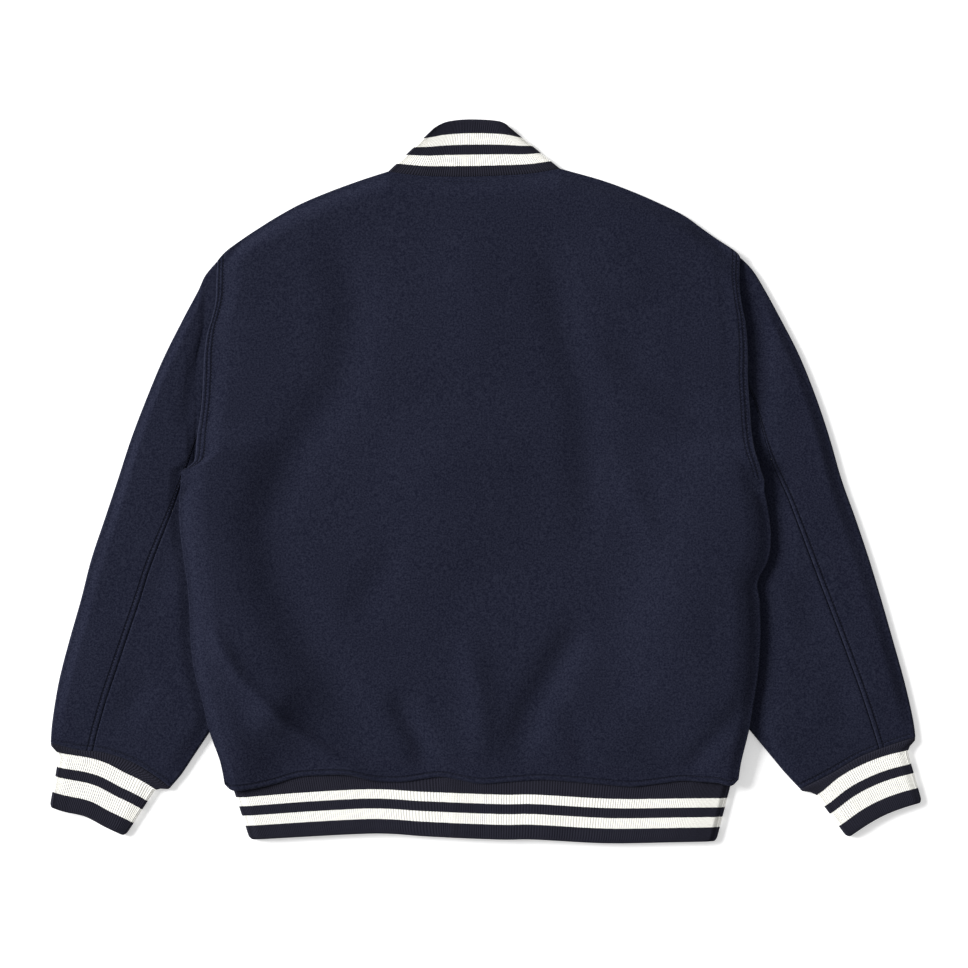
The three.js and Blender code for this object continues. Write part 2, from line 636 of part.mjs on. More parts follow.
// The sleeve's upper layer swells a little, and rises in creases where the body doesn't cover it.
function sleevePuff(x, y, inside) {
  const levels = BODY_ROWS.map((row) => row.leftY);
  const row = Math.min(rowCount, Math.max(0, tableIndex(levels, y)));
  const outside = x < 0 ? tableAt(BODY_ROWS, row, "leftX") - x : x - tableAt(BODY_ROWS, row, "rightX");
  const free = y > levels[0] ? smooth(outside / 14) : 1;
  return smooth(inside / 20) * mix(1.6, 2.2 + foldRise(SLEEVE_FOLDS, x, y), free);
}

// Ribbed bands: ribs are raised in the upper layer's outer points, over a plain inside.
function makeBand(fineStations, plainStations, rows, plan, puff, lift) {
  const at = (radius) => (station, row) => {
    const [x, y, z] = tubePoint(station, radius, (t) => plan(t, row, station.angle), puff);
    return [x, y, z + lift(station) + (radius === TUBE_RADIUS && station.ridge ? RIB_DEPTH : 0)];
  };
  return wallGeometry(grid(fineStations, rows, at(TUBE_RADIUS)), grid(plainStations, rows, at(TUBE_RADIUS - WALL)));
}

const ribbed = (from, to, ribs) => steps(from, to, ribs * 2).slice(1, -1).map((t, index) => (
  { ...flatUp(t), ridge: index % 2 === 0 }
));
const noLift = () => 0;
const BAND_ROWS = steps(0, 1, 2);
const HEM_ROWS = [0, 1];

// Cuffs, as wide as the sleeve end at the seam and drawn in just below it
const CUFF_DRAW = 0.15;
const CUFF_ROWS = [0, CUFF_DRAW, 0.5, 1];
const CUFF_START = 0.06;
const CUFF_END = 0.91;
const CUFF_PUFF = 1.2;
const CUFF_SLIT = 0.004;

function makeCuff(cuffRows) {
  const plan = (t, v) => {
    const drawn = smooth(v / CUFF_DRAW);
    const seam = curveAt(cuffRows, mix(CUFF_START * drawn, mix(1, CUFF_END, drawn), t), "clothX", "clothY");
    const free = curveAt(cuffRows, t, "freeX", "freeY");
    return [mix(seam.x, free.x, v), mix(seam.y, free.y, v)];
  };
  const under = steps(0.5, 1, 5).slice(0, -1).map(flatDown);
  const back = steps(0, 0.5 - CUFF_SLIT, 5).slice(1).map(flatDown);
  const right = foldAt(1, -Math.PI / 2, Math.PI / 2);
  const left = foldAt(0, Math.PI / 2, -Math.PI / 2);
  const fine = [...under, ...right, ...ribbed(1, 0, CUFF_RIBS), ...left, ...back];
  const plain = [...under, ...right, ...steps(1, 0, 10).slice(1, -1).map(flatUp), ...left, ...back];
  const puff = (x, y, inside) => CUFF_PUFF * smooth(inside / RIM_EASE);
  return makeBand(fine, plain, CUFF_ROWS, plan, puff, noLift);
}

// Hem rib
const HEM_FIRST = 1;
const HEM_LAST = 21;

function makeHem() {
  const columnOf = (t) => mix(HEM_FIRST, HEM_LAST, t);
  const shareOf = (column) => (column - HEM_FIRST) / (HEM_LAST - HEM_FIRST);
  const freeStart = HEM_FREE_EDGE[0].x;
  const freeEnd = HEM_FREE_EDGE[HEM_FREE_EDGE.length - 1].x;
  const shares = HEM_FREE_EDGE.map((row) => (row.x - freeStart) / (freeEnd - freeStart));
  const hemStartX = tableAt(BODY_COLUMNS, HEM_FIRST, "hemX");
  const hemEndX = tableAt(BODY_COLUMNS, HEM_LAST, "hemX");
  const plan = (t, v) => {
    const seamX = tableAt(BODY_COLUMNS, columnOf(t), "hemX");
    const seamY = tableAt(BODY_COLUMNS, columnOf(t), "hemY") - SEAM_GAP;
    const along = (seamX - hemStartX) / (hemEndX - hemStartX);
    const freeY = tableAt(HEM_FREE_EDGE, tableIndex(shares, along), "y");
    return [mix(seamX, mix(freeStart, freeEnd, along), v), mix(seamY, freeY, v)];
  };
  const lapOf = (column) => ({ ...flatDown(shareOf(column)), column });
  const leftUnder = LEFT_FRONT_COLUMNS.filter((column) => column > HEM_FIRST).reverse().map(lapOf);
  const rightUnder = RIGHT_FRONT_COLUMNS.filter((column) => column < HEM_LAST).reverse().map(lapOf);
  const lift = (station) => (station.column >= CENTRE - LAP_COLUMNS && rightUnder.includes(station)
    ? lapLift(station.column) : 0);
  const fine = [...leftUnder, ...overLeftFold, ...ribbed(0, 1, HEM_RIBS), ...overRightFold, ...rightUnder];
  const middle = steps(HEM_FIRST, HEM_LAST, 40).slice(1, -1).map((column) => flatUp(shareOf(column)));
  const plain = [...leftUnder, ...overLeftFold, ...middle, ...overRightFold, ...rightUnder];
  const puff = (x, y, inside) => smooth(inside / RIM_EASE) * (PUFF + foldRise(BACK_FOLDS, x, y));
  return makeBand(fine, plain, HEM_ROWS, plan, puff, lift);
}

// Collar rib
function makeCollar() {
  const span = NECK_RIGHT - NECK_LEFT;
  const shareOf = (column) => (column - NECK_LEFT) / span;
  const freeLeft = COLLAR_FREE_EDGE[0];
  const freeRight = COLLAR_FREE_EDGE[COLLAR_FREE_EDGE.length - 1];
  const frontFree = (t) => {
    const x = mix(freeLeft.x, freeRight.x, t);
    const half = (x < CENTRE_X ? CENTRE_X - freeLeft.x : freeRight.x - CENTRE_X);
    const dip = Math.sqrt(1 - clamp(Math.abs(x - CENTRE_X) / half) ** 2);
    return [x, mix(freeLeft.y, NECK_DEPTH_Y + COLLAR_FRONT_HEIGHT, dip)];
  };
  const plan = (t, v, angle) => {
    const column = NECK_LEFT + span * t;
    const front = angle < -1.5;
    const [seamX, seamY] = front ? frontTop(column) : backTop(column);
    const free = curveAt(COLLAR_FREE_EDGE, t, "x", "y");
    const [freeX, freeY] = front ? frontFree(t) : [free.x, free.y];
    const startX = front ? mix(CENTRE_X, seamX, NECK_SHRINK) : seamX;
    return [mix(startX, freeX, v), mix(seamY + SEAM_GAP, freeY, v)];
  };
  const lapOf = (column) => ({ ...flatDown(shareOf(column)), column });
  const leftUnder = LEFT_FRONT_COLUMNS.filter((column) => column > NECK_LEFT).reverse().map(lapOf);
  const rightUnder = RIGHT_FRONT_COLUMNS.filter((column) => column < NECK_RIGHT).reverse().map(lapOf);
  const lift = (station) => (rightUnder.includes(station) ? lapLift(station.column) : 0);
  const fine = [...leftUnder, ...overLeftFold, ...ribbed(0, 1, COLLAR_RIBS), ...overRightFold, ...rightUnder];
  const middle = steps(0, 1, 12).slice(1, -1).map(flatUp);
  const plain = [...leftUnder, ...overLeftFold, ...middle, ...overRightFold, ...rightUnder];
  return makeBand(fine, plain, BAND_ROWS, plan, () => 0, lift);
}

addPiece("back_panel", makeBack(), melton());
addPiece("front_left", dentedFront(makeFront(LEFT_FRONT_COLUMNS, () => 0)), melton());
addPiece("front_right", makeFront(RIGHT_FRONT_COLUMNS, lapLift), melton());
snapPlaces.forEach((place, index) => addPiece(`snap_${index + 1}`, makeSnap(place), snapMetal()));
addPiece("sleeve_top_left", makeSleeve(LEFT_SLEEVE_ROWS, LEFT_CUFF_ROWS, -1, "top"), melton());
addPiece("sleeve_under_left", makeSleeve(LEFT_SLEEVE_ROWS, LEFT_CUFF_ROWS, -1, "under"), melton());
addPiece("sleeve_top_right", makeSleeve(RIGHT_SLEEVE_ROWS, RIGHT_CUFF_ROWS, 1, "top"), melton());
addPiece("sleeve_under_right", makeSleeve(RIGHT_SLEEVE_ROWS, RIGHT_CUFF_ROWS, 1, "under"), melton());
addPiece("cuff_left", makeCuff(LEFT_CUFF_ROWS), rib());
addPiece("cuff_right", makeCuff(RIGHT_CUFF_ROWS), rib());
addPiece("hem_rib", makeHem(), rib());
addPiece("collar_rib", makeCollar(), rib());

export default jacket;
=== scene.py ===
import logging
import math
from dataclasses import dataclass, field
from enum import Enum, IntEnum
from typing import Callable, Optional, Sequence

import bpy
import numpy as np
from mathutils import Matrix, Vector


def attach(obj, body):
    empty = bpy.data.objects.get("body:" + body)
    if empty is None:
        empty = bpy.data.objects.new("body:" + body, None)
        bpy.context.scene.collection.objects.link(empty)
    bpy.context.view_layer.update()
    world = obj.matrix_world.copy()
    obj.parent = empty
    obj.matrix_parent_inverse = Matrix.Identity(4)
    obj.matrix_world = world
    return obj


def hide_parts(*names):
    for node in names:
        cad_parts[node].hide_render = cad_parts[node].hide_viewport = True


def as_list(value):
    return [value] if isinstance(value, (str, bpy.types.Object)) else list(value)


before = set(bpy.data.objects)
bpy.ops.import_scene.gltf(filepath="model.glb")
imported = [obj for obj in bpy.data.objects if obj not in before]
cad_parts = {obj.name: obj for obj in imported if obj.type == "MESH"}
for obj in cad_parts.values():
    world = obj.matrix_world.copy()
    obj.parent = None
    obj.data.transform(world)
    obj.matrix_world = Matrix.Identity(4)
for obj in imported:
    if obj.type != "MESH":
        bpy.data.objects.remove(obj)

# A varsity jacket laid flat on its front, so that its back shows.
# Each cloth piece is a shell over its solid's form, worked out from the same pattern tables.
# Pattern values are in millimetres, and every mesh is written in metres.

log = logging.getLogger("varsity_jacket")
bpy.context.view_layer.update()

MM = 0.001  # one millimetre in metres
FAR = 99.0  # a distance in millimetres that is far from every seam
SAME = 1e-6  # two row numbers closer than this are the same

WALL = 3.0  # thickness of a melton wall
LAYER = 3.3  # height of the first layer of cloth
SEAM_GAP = 0.3  # gap between two pieces at a seam
CLEARANCE = 0.6  # least gap between two layers
PUFF = 3.3  # swell of the upper layer
RIM_EASE = 14.0  # width over which a swell starts at an edge
LAP = 6.0  # how far a sleeve's upper layer runs in under the back

LIFT = 9.3  # height of the body where it lies on a sleeve
LIFT_REACH = 62.0  # how far past the sleeve's inner fold the fronts are lifted at all
LIFT_SLOPE = 40.0  # width of the slope within that reach
BACK_LIFT_SLOPE = 100.0  # width of the same slope on the back, which starts at the same place
LIFT_START = 53.0  # height above the underarm where it ends
LIFT_CLIMB = 35.0  # length over which it ends

CENTRE_X = -13.0  # middle of the front's neckline
NECK_DEPTH_Y = 240.0  # lowest point of the front's neckline
COLLAR_FRONT_HEIGHT = 55.0  # height of the collar in the middle of the front
LAP_COLUMNS = 0.4  # how many columns each front runs past the middle

ARM_STITCHES = (5.3, 10.6)  # distance of each row of stitches from an armhole seam
SEAM_STITCH = 5.4  # that of the row beside a sleeve seam, and of the one above the hem rib
CUFF_STITCH = 5.3  # that of the row above a cuff
NECK_STITCH = 6.6  # that of the short row below the collar
NECK_STITCH_SPAN = (-46.0, 1.5)  # x of that row's ends

# Row and columns of the tables below: underarm, neck points and middle of the front.
UNDERARM = 12
NECK_LEFT = 8.0
CENTRE = 11.0
NECK_RIGHT = 14.0

# Both edges of the body: left x and y, right x and y, from the hem corner to the shoulder tip.
BODY_ROWS = np.array([
    (-276, -320, 267, -315), (-281, -295, 270, -295), (-292, -264, 278, -262),
    (-300, -230, 283, -232), (-308, -200, 288, -198), (-312, -165, 290, -160),
    (-313, -138, 289, -126), (-315, -110, 287, -106), (-320, -76, 298, -83),
    (-323, -50, 301, -58), (-324, -24, 298, -30), (-322, -4, 294, -10),
    (-321, 11, 294, 1), (-313, 16, 288, 19), (-307, 24, 284, 32),
    (-305, 50, 281, 52), (-301, 80, 279, 78), (-299, 110, 277, 108),
    (-298, 133, 277, 131), (-295, 155, 276, 152), (-290, 172, 274, 170),
    (-286, 190, 271, 184), (-285, 212, 268, 208), (-284, 233, 269, 237),
], dtype=float)

# Shoulder and neck edge, x and y, then hem seam, x and y, from the left side to the right.
BODY_COLUMNS = np.array([
    (-284, 233, -276, -320), (-275, 243, -267, -327), (-258, 256, -246, -325),
    (-240, 268, -222, -320), (-219, 281, -198, -313), (-195, 294, -171, -311),
    (-164, 307, -145, -311), (-131, 319, -118, -317), (-103, 328, -88, -318),
    (-70, 324, -50, -313), (-43, 323, -28, -316), (-14, 323, -5, -320),
    (15, 324, 25, -318), (47, 326, 60, -316), (78, 331, 92, -318),
    (121, 319, 126, -321), (154, 307, 155, -323), (184, 294, 183, -320),
    (210, 281, 208, -317), (228, 268, 228, -318), (245, 256, 245, -319),
    (264, 243, 259, -322), (269, 237, 267, -315),
], dtype=float)

# Outer fold x and y, inner fold x and y, and the back seam's share of the way between them.
LEFT_SLEEVE_ROWS = np.array([
    (-286, 232, -307, 24, 0.897), (-297, 218, -309, 4, 0.839), (-305, 201, -310.5, -18, 0.771),
    (-321, 171, -311, -40, 0.73), (-342, 129, -310, -64, 0.69), (-360, 86, -306, -92, 0.63),
    (-376, 44, -298, -122, 0.555), (-390, 1, -286, -152, 0.473), (-404, -41, -274, -182, 0.408),
    (-418, -83, -268, -214, 0.377), (-429, -126, -279, -245, 0.369), (-441, -168, -292, -265, 0.378),
    (-452, -211, -308, -289, 0.387), (-459, -253, -322, -310, 0.39), (-461, -278, -334, -325, 0.399),
])
RIGHT_SLEEVE_ROWS = np.array([
    (271, 236, 284, 32, 0.668), (282, 224, 287, 14, 0.666), (294, 205, 289, -4, 0.665),
    (311, 174, 288.6, -24, 0.657), (332, 133, 286.5, -46, 0.632), (350, 88, 281, -72, 0.561),
    (364, 46, 271, -100, 0.476), (377, 1, 258, -130, 0.398), (392, -41, 246, -160, 0.348),
    (406, -83, 242, -195, 0.313), (419, -126, 257, -238, 0.301), (431, -168, 277, -261, 0.309),
    (443, -211, 297, -285, 0.318), (452, -250, 316, -308, 0.326), (455, -272, 333, -327, 0.337),
])

# Sleeve end x and y, and the cuff's free edge x and y, from the outer fold to the inner one.
LEFT_CUFF_ROWS = np.array([
    (-461, -278, -462, -345), (-435, -285, -446, -350), (-403, -289, -424, -355),
    (-370, -301, -403, -366), (-334, -325, -382, -376),
], dtype=float)
RIGHT_CUFF_ROWS = np.array([
    (455, -272, 462, -340), (427, -281, 444, -345), (396, -293, 423, -353),
    (365, -311, 403, -364), (333, -327, 383, -378),
], dtype=float)

# Free edges of the hem rib and of the collar's back half: x and y.
HEM_FREE_EDGE = np.array([
    (-250, -379.5), (-141, -373.5), (-101, -373), (-59, -376), (15, -379),
    (51, -379), (126, -383), (201, -382), (244, -381),
])
COLLAR_FREE_EDGE = np.array([(-55, 374), (-41, 380.5), (-17, 383), (14, 381), (26, 374)])


def smooth(value: np.ndarray) -> np.ndarray:
    """A soft step: 0 below 0, 1 above 1, and 3t^2 - 2t^3 between."""
    t = np.clip(value, 0.0, 1.0)
    return t * t * (3.0 - 2.0 * t)


def mix(start: np.ndarray, end: np.ndarray, share: np.ndarray) -> np.ndarray:
    """The straight blend from start to end."""
    return start + (end - start) * share


def curve(values: np.ndarray, index: np.ndarray) -> np.ndarray:
    """Catmull-Rom curve through evenly numbered values.

    Args:
        values: one value for each row of a table.
        index: fractional row numbers.

    Returns:
        The curve's value at each index: a cubic between rows i and i + 1, whose slope at a row
        is half the difference of its two neighbours.
    """
    index = np.clip(np.asarray(index, dtype=float), 0, len(values) - 1)
    low = np.minimum(index.astype(int), len(values) - 2)
    t = index - low
    before = values[np.maximum(low - 1, 0)]
    start = values[low]
    end = values[low + 1]
    after = values[np.minimum(low + 2, len(values) - 1)]
    slope_start = 0.5 * (end - before)
    slope_end = 0.5 * (after - start)
    return (
        start * (2 * t**3 - 3 * t**2 + 1)
        + slope_start * (t**3 - 2 * t**2 + t)
        + end * (3 * t**2 - 2 * t**3)
        + slope_end * (t**3 - t**2)
    )


def shares(xs: np.ndarray, ys: np.ndarray) -> np.ndarray:
    """The share of a path's length at each of its points."""
    reach = np.concatenate([[0.0], np.cumsum(np.hypot(np.diff(xs), np.diff(ys)))])
    return reach / reach[-1]


def even_index(xs: np.ndarray, ys: np.ndarray, count: int) -> np.ndarray:
    """Fractional rows of a table that are evenly far apart along its path.

    Args:
        xs: x of each row.
        ys: y of each row.
        count: how many steps.

    Returns:
        count + 1 fractional row numbers, from the first row to the last.
    """
    return np.interp(np.linspace(0.0, 1.0, count + 1), shares(xs, ys), np.arange(len(xs)))


class Profile(Enum):
    """How a crease's height falls off to its sides."""

    SOFT = "soft"
    SHARP = "sharp"


@dataclass(frozen=True)
class Crease:
    """A ridge or trough along a bent path.

    Attributes:
        path: corner points of the path, x and y in millimetres.
        rise: height of the ridge, negative for a trough.
        width: half width in millimetres.
        profile: soft bell, or a sharper crest.
        fade: share of the length over which each end dies away.
    """

    path: tuple[tuple[float, float], ...]
    rise: float
    width: float
    profile: Profile = Profile.SOFT
    fade: float = 0.35

    def height(self, x: np.ndarray, y: np.ndarray) -> np.ndarray:
        """Height at points: rise times a bell of the distance to the path, faded at both ends."""
        points = np.array(self.path, dtype=float)
        steps = np.hypot(*np.diff(points, axis=0).T)
        starts = np.concatenate([[0.0], np.cumsum(steps)])
        best = np.full(np.shape(x), np.inf)
        along = np.zeros(np.shape(x))
        for (ax, ay), (bx, by), length, start in zip(points[:-1], points[1:], steps, starts):
            t = np.clip(((x - ax) * (bx - ax) + (y - ay) * (by - ay)) / length**2, 0.0, 1.0)
            distance = np.hypot(x - ax - t * (bx - ax), y - ay - t * (by - ay))
            nearer = distance < best
            best = np.where(nearer, distance, best)
            along = np.where(nearer, start + t * length, along)
        share = along / starts[-1]
        ends = smooth(np.minimum(share, 1.0 - share) / self.fade + 0.08)
        ratio = best / self.width
        if self.profile is Profile.SHARP:
            return self.rise * ends / (1.0 + ratio**2) ** 1.5
        return self.rise * ends * np.exp(-(ratio**2))


def creased(creases: Sequence[Crease], x: np.ndarray, y: np.ndarray) -> np.ndarray:
    """All creases together: ridges and troughs add up where they cross."""
    total = np.zeros(np.shape(x))
    for crease in creases:
        total = total + crease.height(x, y)
    return total


def ripple(x: np.ndarray, y: np.ndarray, seed: float) -> np.ndarray:
    """Small uneven waves of laid cloth: four slanted sine waves whose phases bend each other."""
    a = np.sin(x / 61.0 + 1.7 * np.sin(y / 83.0 + seed) + seed)
    b = np.sin(y / 47.0 + 1.3 * np.sin(x / 71.0 + 2.1 * seed))
    c = np.sin((x + y) / 29.0 + 1.9 * np.sin((x - y) / 53.0 + seed))
    d = np.sin((x - 0.6 * y) / 17.0 + 1.5 * np.sin((x + y) / 37.0 - seed))
    return 0.45 * a + 0.4 * b + 0.22 * c + 0.08 * d


def soft_maximum(value: np.ndarray, least: np.ndarray, room: float) -> np.ndarray:
    """The larger of two heights, rounded where they meet, so that a deep trough just levels off."""
    over = value - least
    return least + 0.5 * (over + np.sqrt(over**2 + room))


def cornered(values: np.ndarray, index: np.ndarray, corners: Sequence[int]) -> np.ndarray:
    """Catmull-Rom curve that keeps a corner at the given rows.

    Args:
        values: one value for each row.
        index: fractional row numbers.
        corners: rows where one smooth stretch ends and the next begins, first and last included.

    Returns:
        The curve's value at each index.
    """
    index = np.clip(np.asarray(index, dtype=float), 0, len(values) - 1)
    result = np.zeros(index.shape)
    for start, end in zip(corners[:-1], corners[1:]):
        here = (index >= start) & (index <= end)
        result = np.where(here, curve(values[start:end + 1], index - start), result)
    return result


ROW_CORNERS = (0, UNDERARM, len(BODY_ROWS) - 1)
COLUMN_CORNERS = (0, int(NECK_LEFT), int(NECK_RIGHT), len(BODY_COLUMNS) - 1)
LAST_ROW = float(len(BODY_ROWS) - 1)
LAST_COLUMN = float(len(BODY_COLUMNS) - 1)


def side_edges(row: np.ndarray) -> tuple[np.ndarray, ...]:
    """Left x, left y, right x and right y of the body's edges at fractional rows."""
    return tuple(cornered(BODY_ROWS[:, k], row, ROW_CORNERS) for k in range(4))


def top_edge(column: np.ndarray, front: bool) -> tuple[np.ndarray, np.ndarray]:
    """Shoulder and neck edge at fractional columns.

    Args:
        column: fractional column numbers.
        front: True for the front's lower neckline, half an ellipse below the neck points.

    Returns:
        x and y in millimetres.
    """
    x = cornered(BODY_COLUMNS[:, 0], column, COLUMN_CORNERS)
    y = cornered(BODY_COLUMNS[:, 1], column, COLUMN_CORNERS)
    if not front:
        return x, y
    half = CENTRE_X - BODY_COLUMNS[int(NECK_LEFT), 0]
    dip = np.sqrt(1.0 - np.clip(np.abs(x - CENTRE_X) / half, 0.0, 1.0) ** 2)
    inside = (column > NECK_LEFT) & (column < NECK_RIGHT)
    return x, np.where(inside, mix(y, NECK_DEPTH_Y, dip), y)


def hem_seam(column: np.ndarray) -> tuple[np.ndarray, np.ndarray]:
    """The seam between body and hem rib at fractional columns, x and y."""
    return curve(BODY_COLUMNS[:, 2], column), curve(BODY_COLUMNS[:, 3], column)


def body_point(column: np.ndarray, row: np.ndarray, front: bool) -> tuple[np.ndarray, np.ndarray]:
    """A point of the body's outline patch, stretched between its four edges.

    Args:
        column: fractional columns, from the left side to the right.
        row: fractional rows, from the hem to the shoulder.
        front: True for the front's neckline.

    Returns:
        x and y: the blend of side to side, plus the blend of hem to top, less that of the corners.
    """
    hem_x, hem_y = hem_seam(column)
    u = (hem_x - BODY_COLUMNS[0, 2]) / (BODY_COLUMNS[-1, 2] - BODY_COLUMNS[0, 2])
    left_x, left_y, right_x, right_y = side_edges(row)
    v = (left_y - BODY_ROWS[0, 1]) / (BODY_ROWS[-1, 1] - BODY_ROWS[0, 1])
    top_x, top_y = top_edge(column, front)
    first, last = BODY_ROWS[0], BODY_ROWS[-1]
    x = mix(hem_x, top_x, v) + mix(left_x, right_x, u) - mix(
        mix(first[0], first[2], u), mix(last[0], last[2], u), v)
    y = mix(hem_y, top_y, v) + mix(left_y, right_y, u) - mix(
        mix(first[1], first[3], u), mix(last[1], last[3], u), v)
    return x, y


def inner_fold_x(rows: np.ndarray, y: np.ndarray) -> np.ndarray:
    """x of a sleeve's inner fold at heights y of the plan."""
    return np.interp(y, rows[::-1, 3], rows[::-1, 2])


def body_lift(x: np.ndarray, y: np.ndarray, slope: float = LIFT_SLOPE) -> np.ndarray:
    """How far the body lies up on the sleeve.

    Args:
        x: x of the points.
        y: y of the points.
        slope: width of the slope from the full lift to nothing.

    Returns:
        The lift: full over the sleeve and a little past its inner fold, then sloping to nothing.
    """
    past_left = x - inner_fold_x(LEFT_SLEEVE_ROWS, y)
    past_right = inner_fold_x(RIGHT_SLEEVE_ROWS, y) - x
    left = x < 0
    past = np.where(left, past_left, past_right)
    underarm = np.where(left, BODY_ROWS[UNDERARM, 1], BODY_ROWS[UNDERARM, 3])
    climb = smooth((underarm + LIFT_START - y) / LIFT_CLIMB)
    return LIFT * smooth((LIFT_REACH - LIFT_SLOPE - past) / slope + 1.0) * climb


def lap_lift(column: np.ndarray) -> np.ndarray:
    """How far the right front lies up on the left one, by column."""
    return LAYER * smooth(CENTRE + 1.5 - column)


def tidy_quads(rows: int, columns: int) -> np.ndarray:
    """Corner numbers of the quads of a grid, counted row by row."""
    start = np.arange(rows - 1)[:, None] * columns + np.arange(columns - 1)[None, :]
    return np.stack([start, start + 1, start + columns + 1, start + columns], axis=-1).reshape(-1, 4)


def make_object(name: str, points: np.ndarray, quads: np.ndarray,
                smooth_faces: bool = True) -> bpy.types.Object:
    """A mesh object at the origin from points in millimetres and quads of point numbers."""
    mesh = bpy.data.meshes.new(name)
    mesh.vertices.add(len(points))
    mesh.vertices.foreach_set("co", (points * MM).astype(np.float32).ravel())
    mesh.loops.add(quads.size)
    mesh.loops.foreach_set("vertex_index", quads.astype(np.int32).ravel())
    mesh.polygons.add(len(quads))
    mesh.polygons.foreach_set("loop_start", np.arange(0, quads.size, 4, dtype=np.int32))
    mesh.polygons.foreach_set("use_smooth", np.full(len(quads), smooth_faces))
    mesh.update(calc_edges=True)
    mesh.validate()
    made = bpy.data.objects.new(name, mesh)
    bpy.context.scene.collection.objects.link(made)
    return made


def add_uv(made: bpy.types.Object, uv: np.ndarray) -> None:
    """Writes one UV for each point, which all faces round it share."""
    mesh = made.data
    layer = mesh.uv_layers.new(name="cloth")
    corner = np.empty(len(mesh.loops), dtype=np.int32)
    mesh.loops.foreach_get("vertex_index", corner)
    layer.data.foreach_set("uv", uv[corner].astype(np.float32).ravel())


def add_value(made: bpy.types.Object, name: str, values: np.ndarray) -> None:
    """Writes one number for each point as a named attribute."""
    layer = made.data.attributes.new(name=name, type="FLOAT", domain="POINT")
    layer.data.foreach_set("value", values.astype(np.float32).ravel())


@dataclass
class Wall:
    """A cloth wall with rounded edges between an outer and an inner grid of points.

    Attributes:
        outer: outer surface, rows by columns by 3, in millimetres.
        inner: inner surface on the same grid.
        edge: radius of the rounded edge.
        bows: angles of the loops that round the edge, in radians.
    """

    outer: np.ndarray
    inner: np.ndarray
    edge: float = 1.3
    bows: tuple[float, ...] = (0.75, 0.0, -0.75)

    def _rim(self) -> tuple[np.ndarray, np.ndarray]:
        """Grid numbers round the edge, and those of each one's neighbour inside."""
        last_row, last_column = (size - 1 for size in self.outer.shape[:2])
        i = np.arange(last_column + 1)
        j = np.arange(last_row + 1)
        around = np.concatenate([
            np.stack([np.zeros(last_column), i[:-1]], 1),
            np.stack([j[:-1], np.full(last_row, last_column)], 1),
            np.stack([np.full(last_column, last_row), i[:0:-1]], 1),
            np.stack([j[:0:-1], np.zeros(last_row)], 1),
        ]).astype(int)
        inside = np.stack([
            np.clip(around[:, 0], 1, last_row - 1),
            np.clip(around[:, 1], 1, last_column - 1),
        ], 1)
        return around, inside

    def build(self, name: str, uv: np.ndarray,
              values: Optional[dict[str, np.ndarray]] = None) -> bpy.types.Object:
        """Makes the closed mesh.

        Args:
            name: the object's name.
            uv: two numbers for each grid point.
            values: more numbers for each grid point, by attribute name.

        Returns:
            The object. Its edge is half a round: each rim point moves out by the cosine of an
            angle that turns from the outer surface to the inner one.
        """
        rows, columns = self.outer.shape[:2]
        around, inside = self._rim()
        top, low = self.outer.copy(), self.inner.copy()
        inwards = top[inside[:, 0], inside[:, 1]] - top[around[:, 0], around[:, 1]]
        length = np.linalg.norm(inwards, axis=1, keepdims=True)
        radius = np.minimum(self.edge, 0.45 * length)
        step = inwards / np.maximum(length, 1e-9) * radius
        top[around[:, 0], around[:, 1]] += step
        low[around[:, 0], around[:, 1]] += step
        high_edge = top[around[:, 0], around[:, 1]]
        low_edge = low[around[:, 0], around[:, 1]]
        middle, half = 0.5 * (high_edge + low_edge), 0.5 * (high_edge - low_edge)
        loops = [middle + half * math.sin(a) - step * math.cos(a) for a in self.bows]
        points = np.concatenate([top.reshape(-1, 3), low.reshape(-1, 3), *loops])
        size, count = rows * columns, len(around)
        grid = tidy_quads(rows, columns)
        flat = around[:, 0] * columns + around[:, 1]
        between = (2 * size + k * count + np.arange(count) for k in range(len(loops)))
        rings = [flat, *between, size + flat]
        strips = [
            np.stack([a, b, np.roll(b, -1), np.roll(a, -1)], axis=1)
            for a, b in zip(rings[:-1], rings[1:])
        ]
        quads = np.concatenate([grid, size + grid[:, ::-1], *strips])
        if _volume(points, quads) < 0:
            quads = quads[:, ::-1]
        made = make_object(name, points, quads)

        def spread(given: np.ndarray) -> np.ndarray:
            """The grid's values for both surfaces and for the loops between them."""
            return np.concatenate([given, given, *([given[flat]] * len(loops))])

        add_uv(made, spread(uv.reshape(-1, 2)))
        for key, numbers in (values or {}).items():
            add_value(made, key, spread(numbers.reshape(-1)))
        return made

    def area(self) -> float:
        """The outer surface's area in square metres, by the cross product of each quad's diagonals."""
        a = self.outer[1:, 1:] - self.outer[:-1, :-1]
        b = self.outer[1:, :-1] - self.outer[:-1, 1:]
        return float(0.5 * np.linalg.norm(np.cross(a, b), axis=2).sum()) * MM * MM


def _volume(points: np.ndarray, quads: np.ndarray) -> float:
    """Six times the signed volume of a closed mesh of quads, by triple products."""
    a, b, c, d = (points[quads[:, k]] for k in range(4))
    return float(np.einsum("ij,ij->", a, np.cross(b, c)) + np.einsum("ij,ij->", a, np.cross(c, d)))


def line_inside(grid: np.ndarray, distance: float) -> np.ndarray:
    """A line on a surface at a distance from the grid's first column.

    Args:
        grid: rows by columns by 3.
        distance: millimetres from the first column, along each row.

    Returns:
        One point for each row.
    """
    steps = np.linalg.norm(np.diff(grid, axis=1), axis=2)
    reach = np.concatenate([np.zeros((len(grid), 1)), np.cumsum(steps, axis=1)], axis=1)
    k = np.clip((reach < distance).sum(axis=1) - 1, 0, grid.shape[1] - 2)
    rows = np.arange(len(grid))
    share = (distance - reach[rows, k]) / np.maximum(reach[rows, k + 1] - reach[rows, k], 1e-9)
    return grid[rows, k] + (grid[rows, k + 1] - grid[rows, k]) * share[:, None]


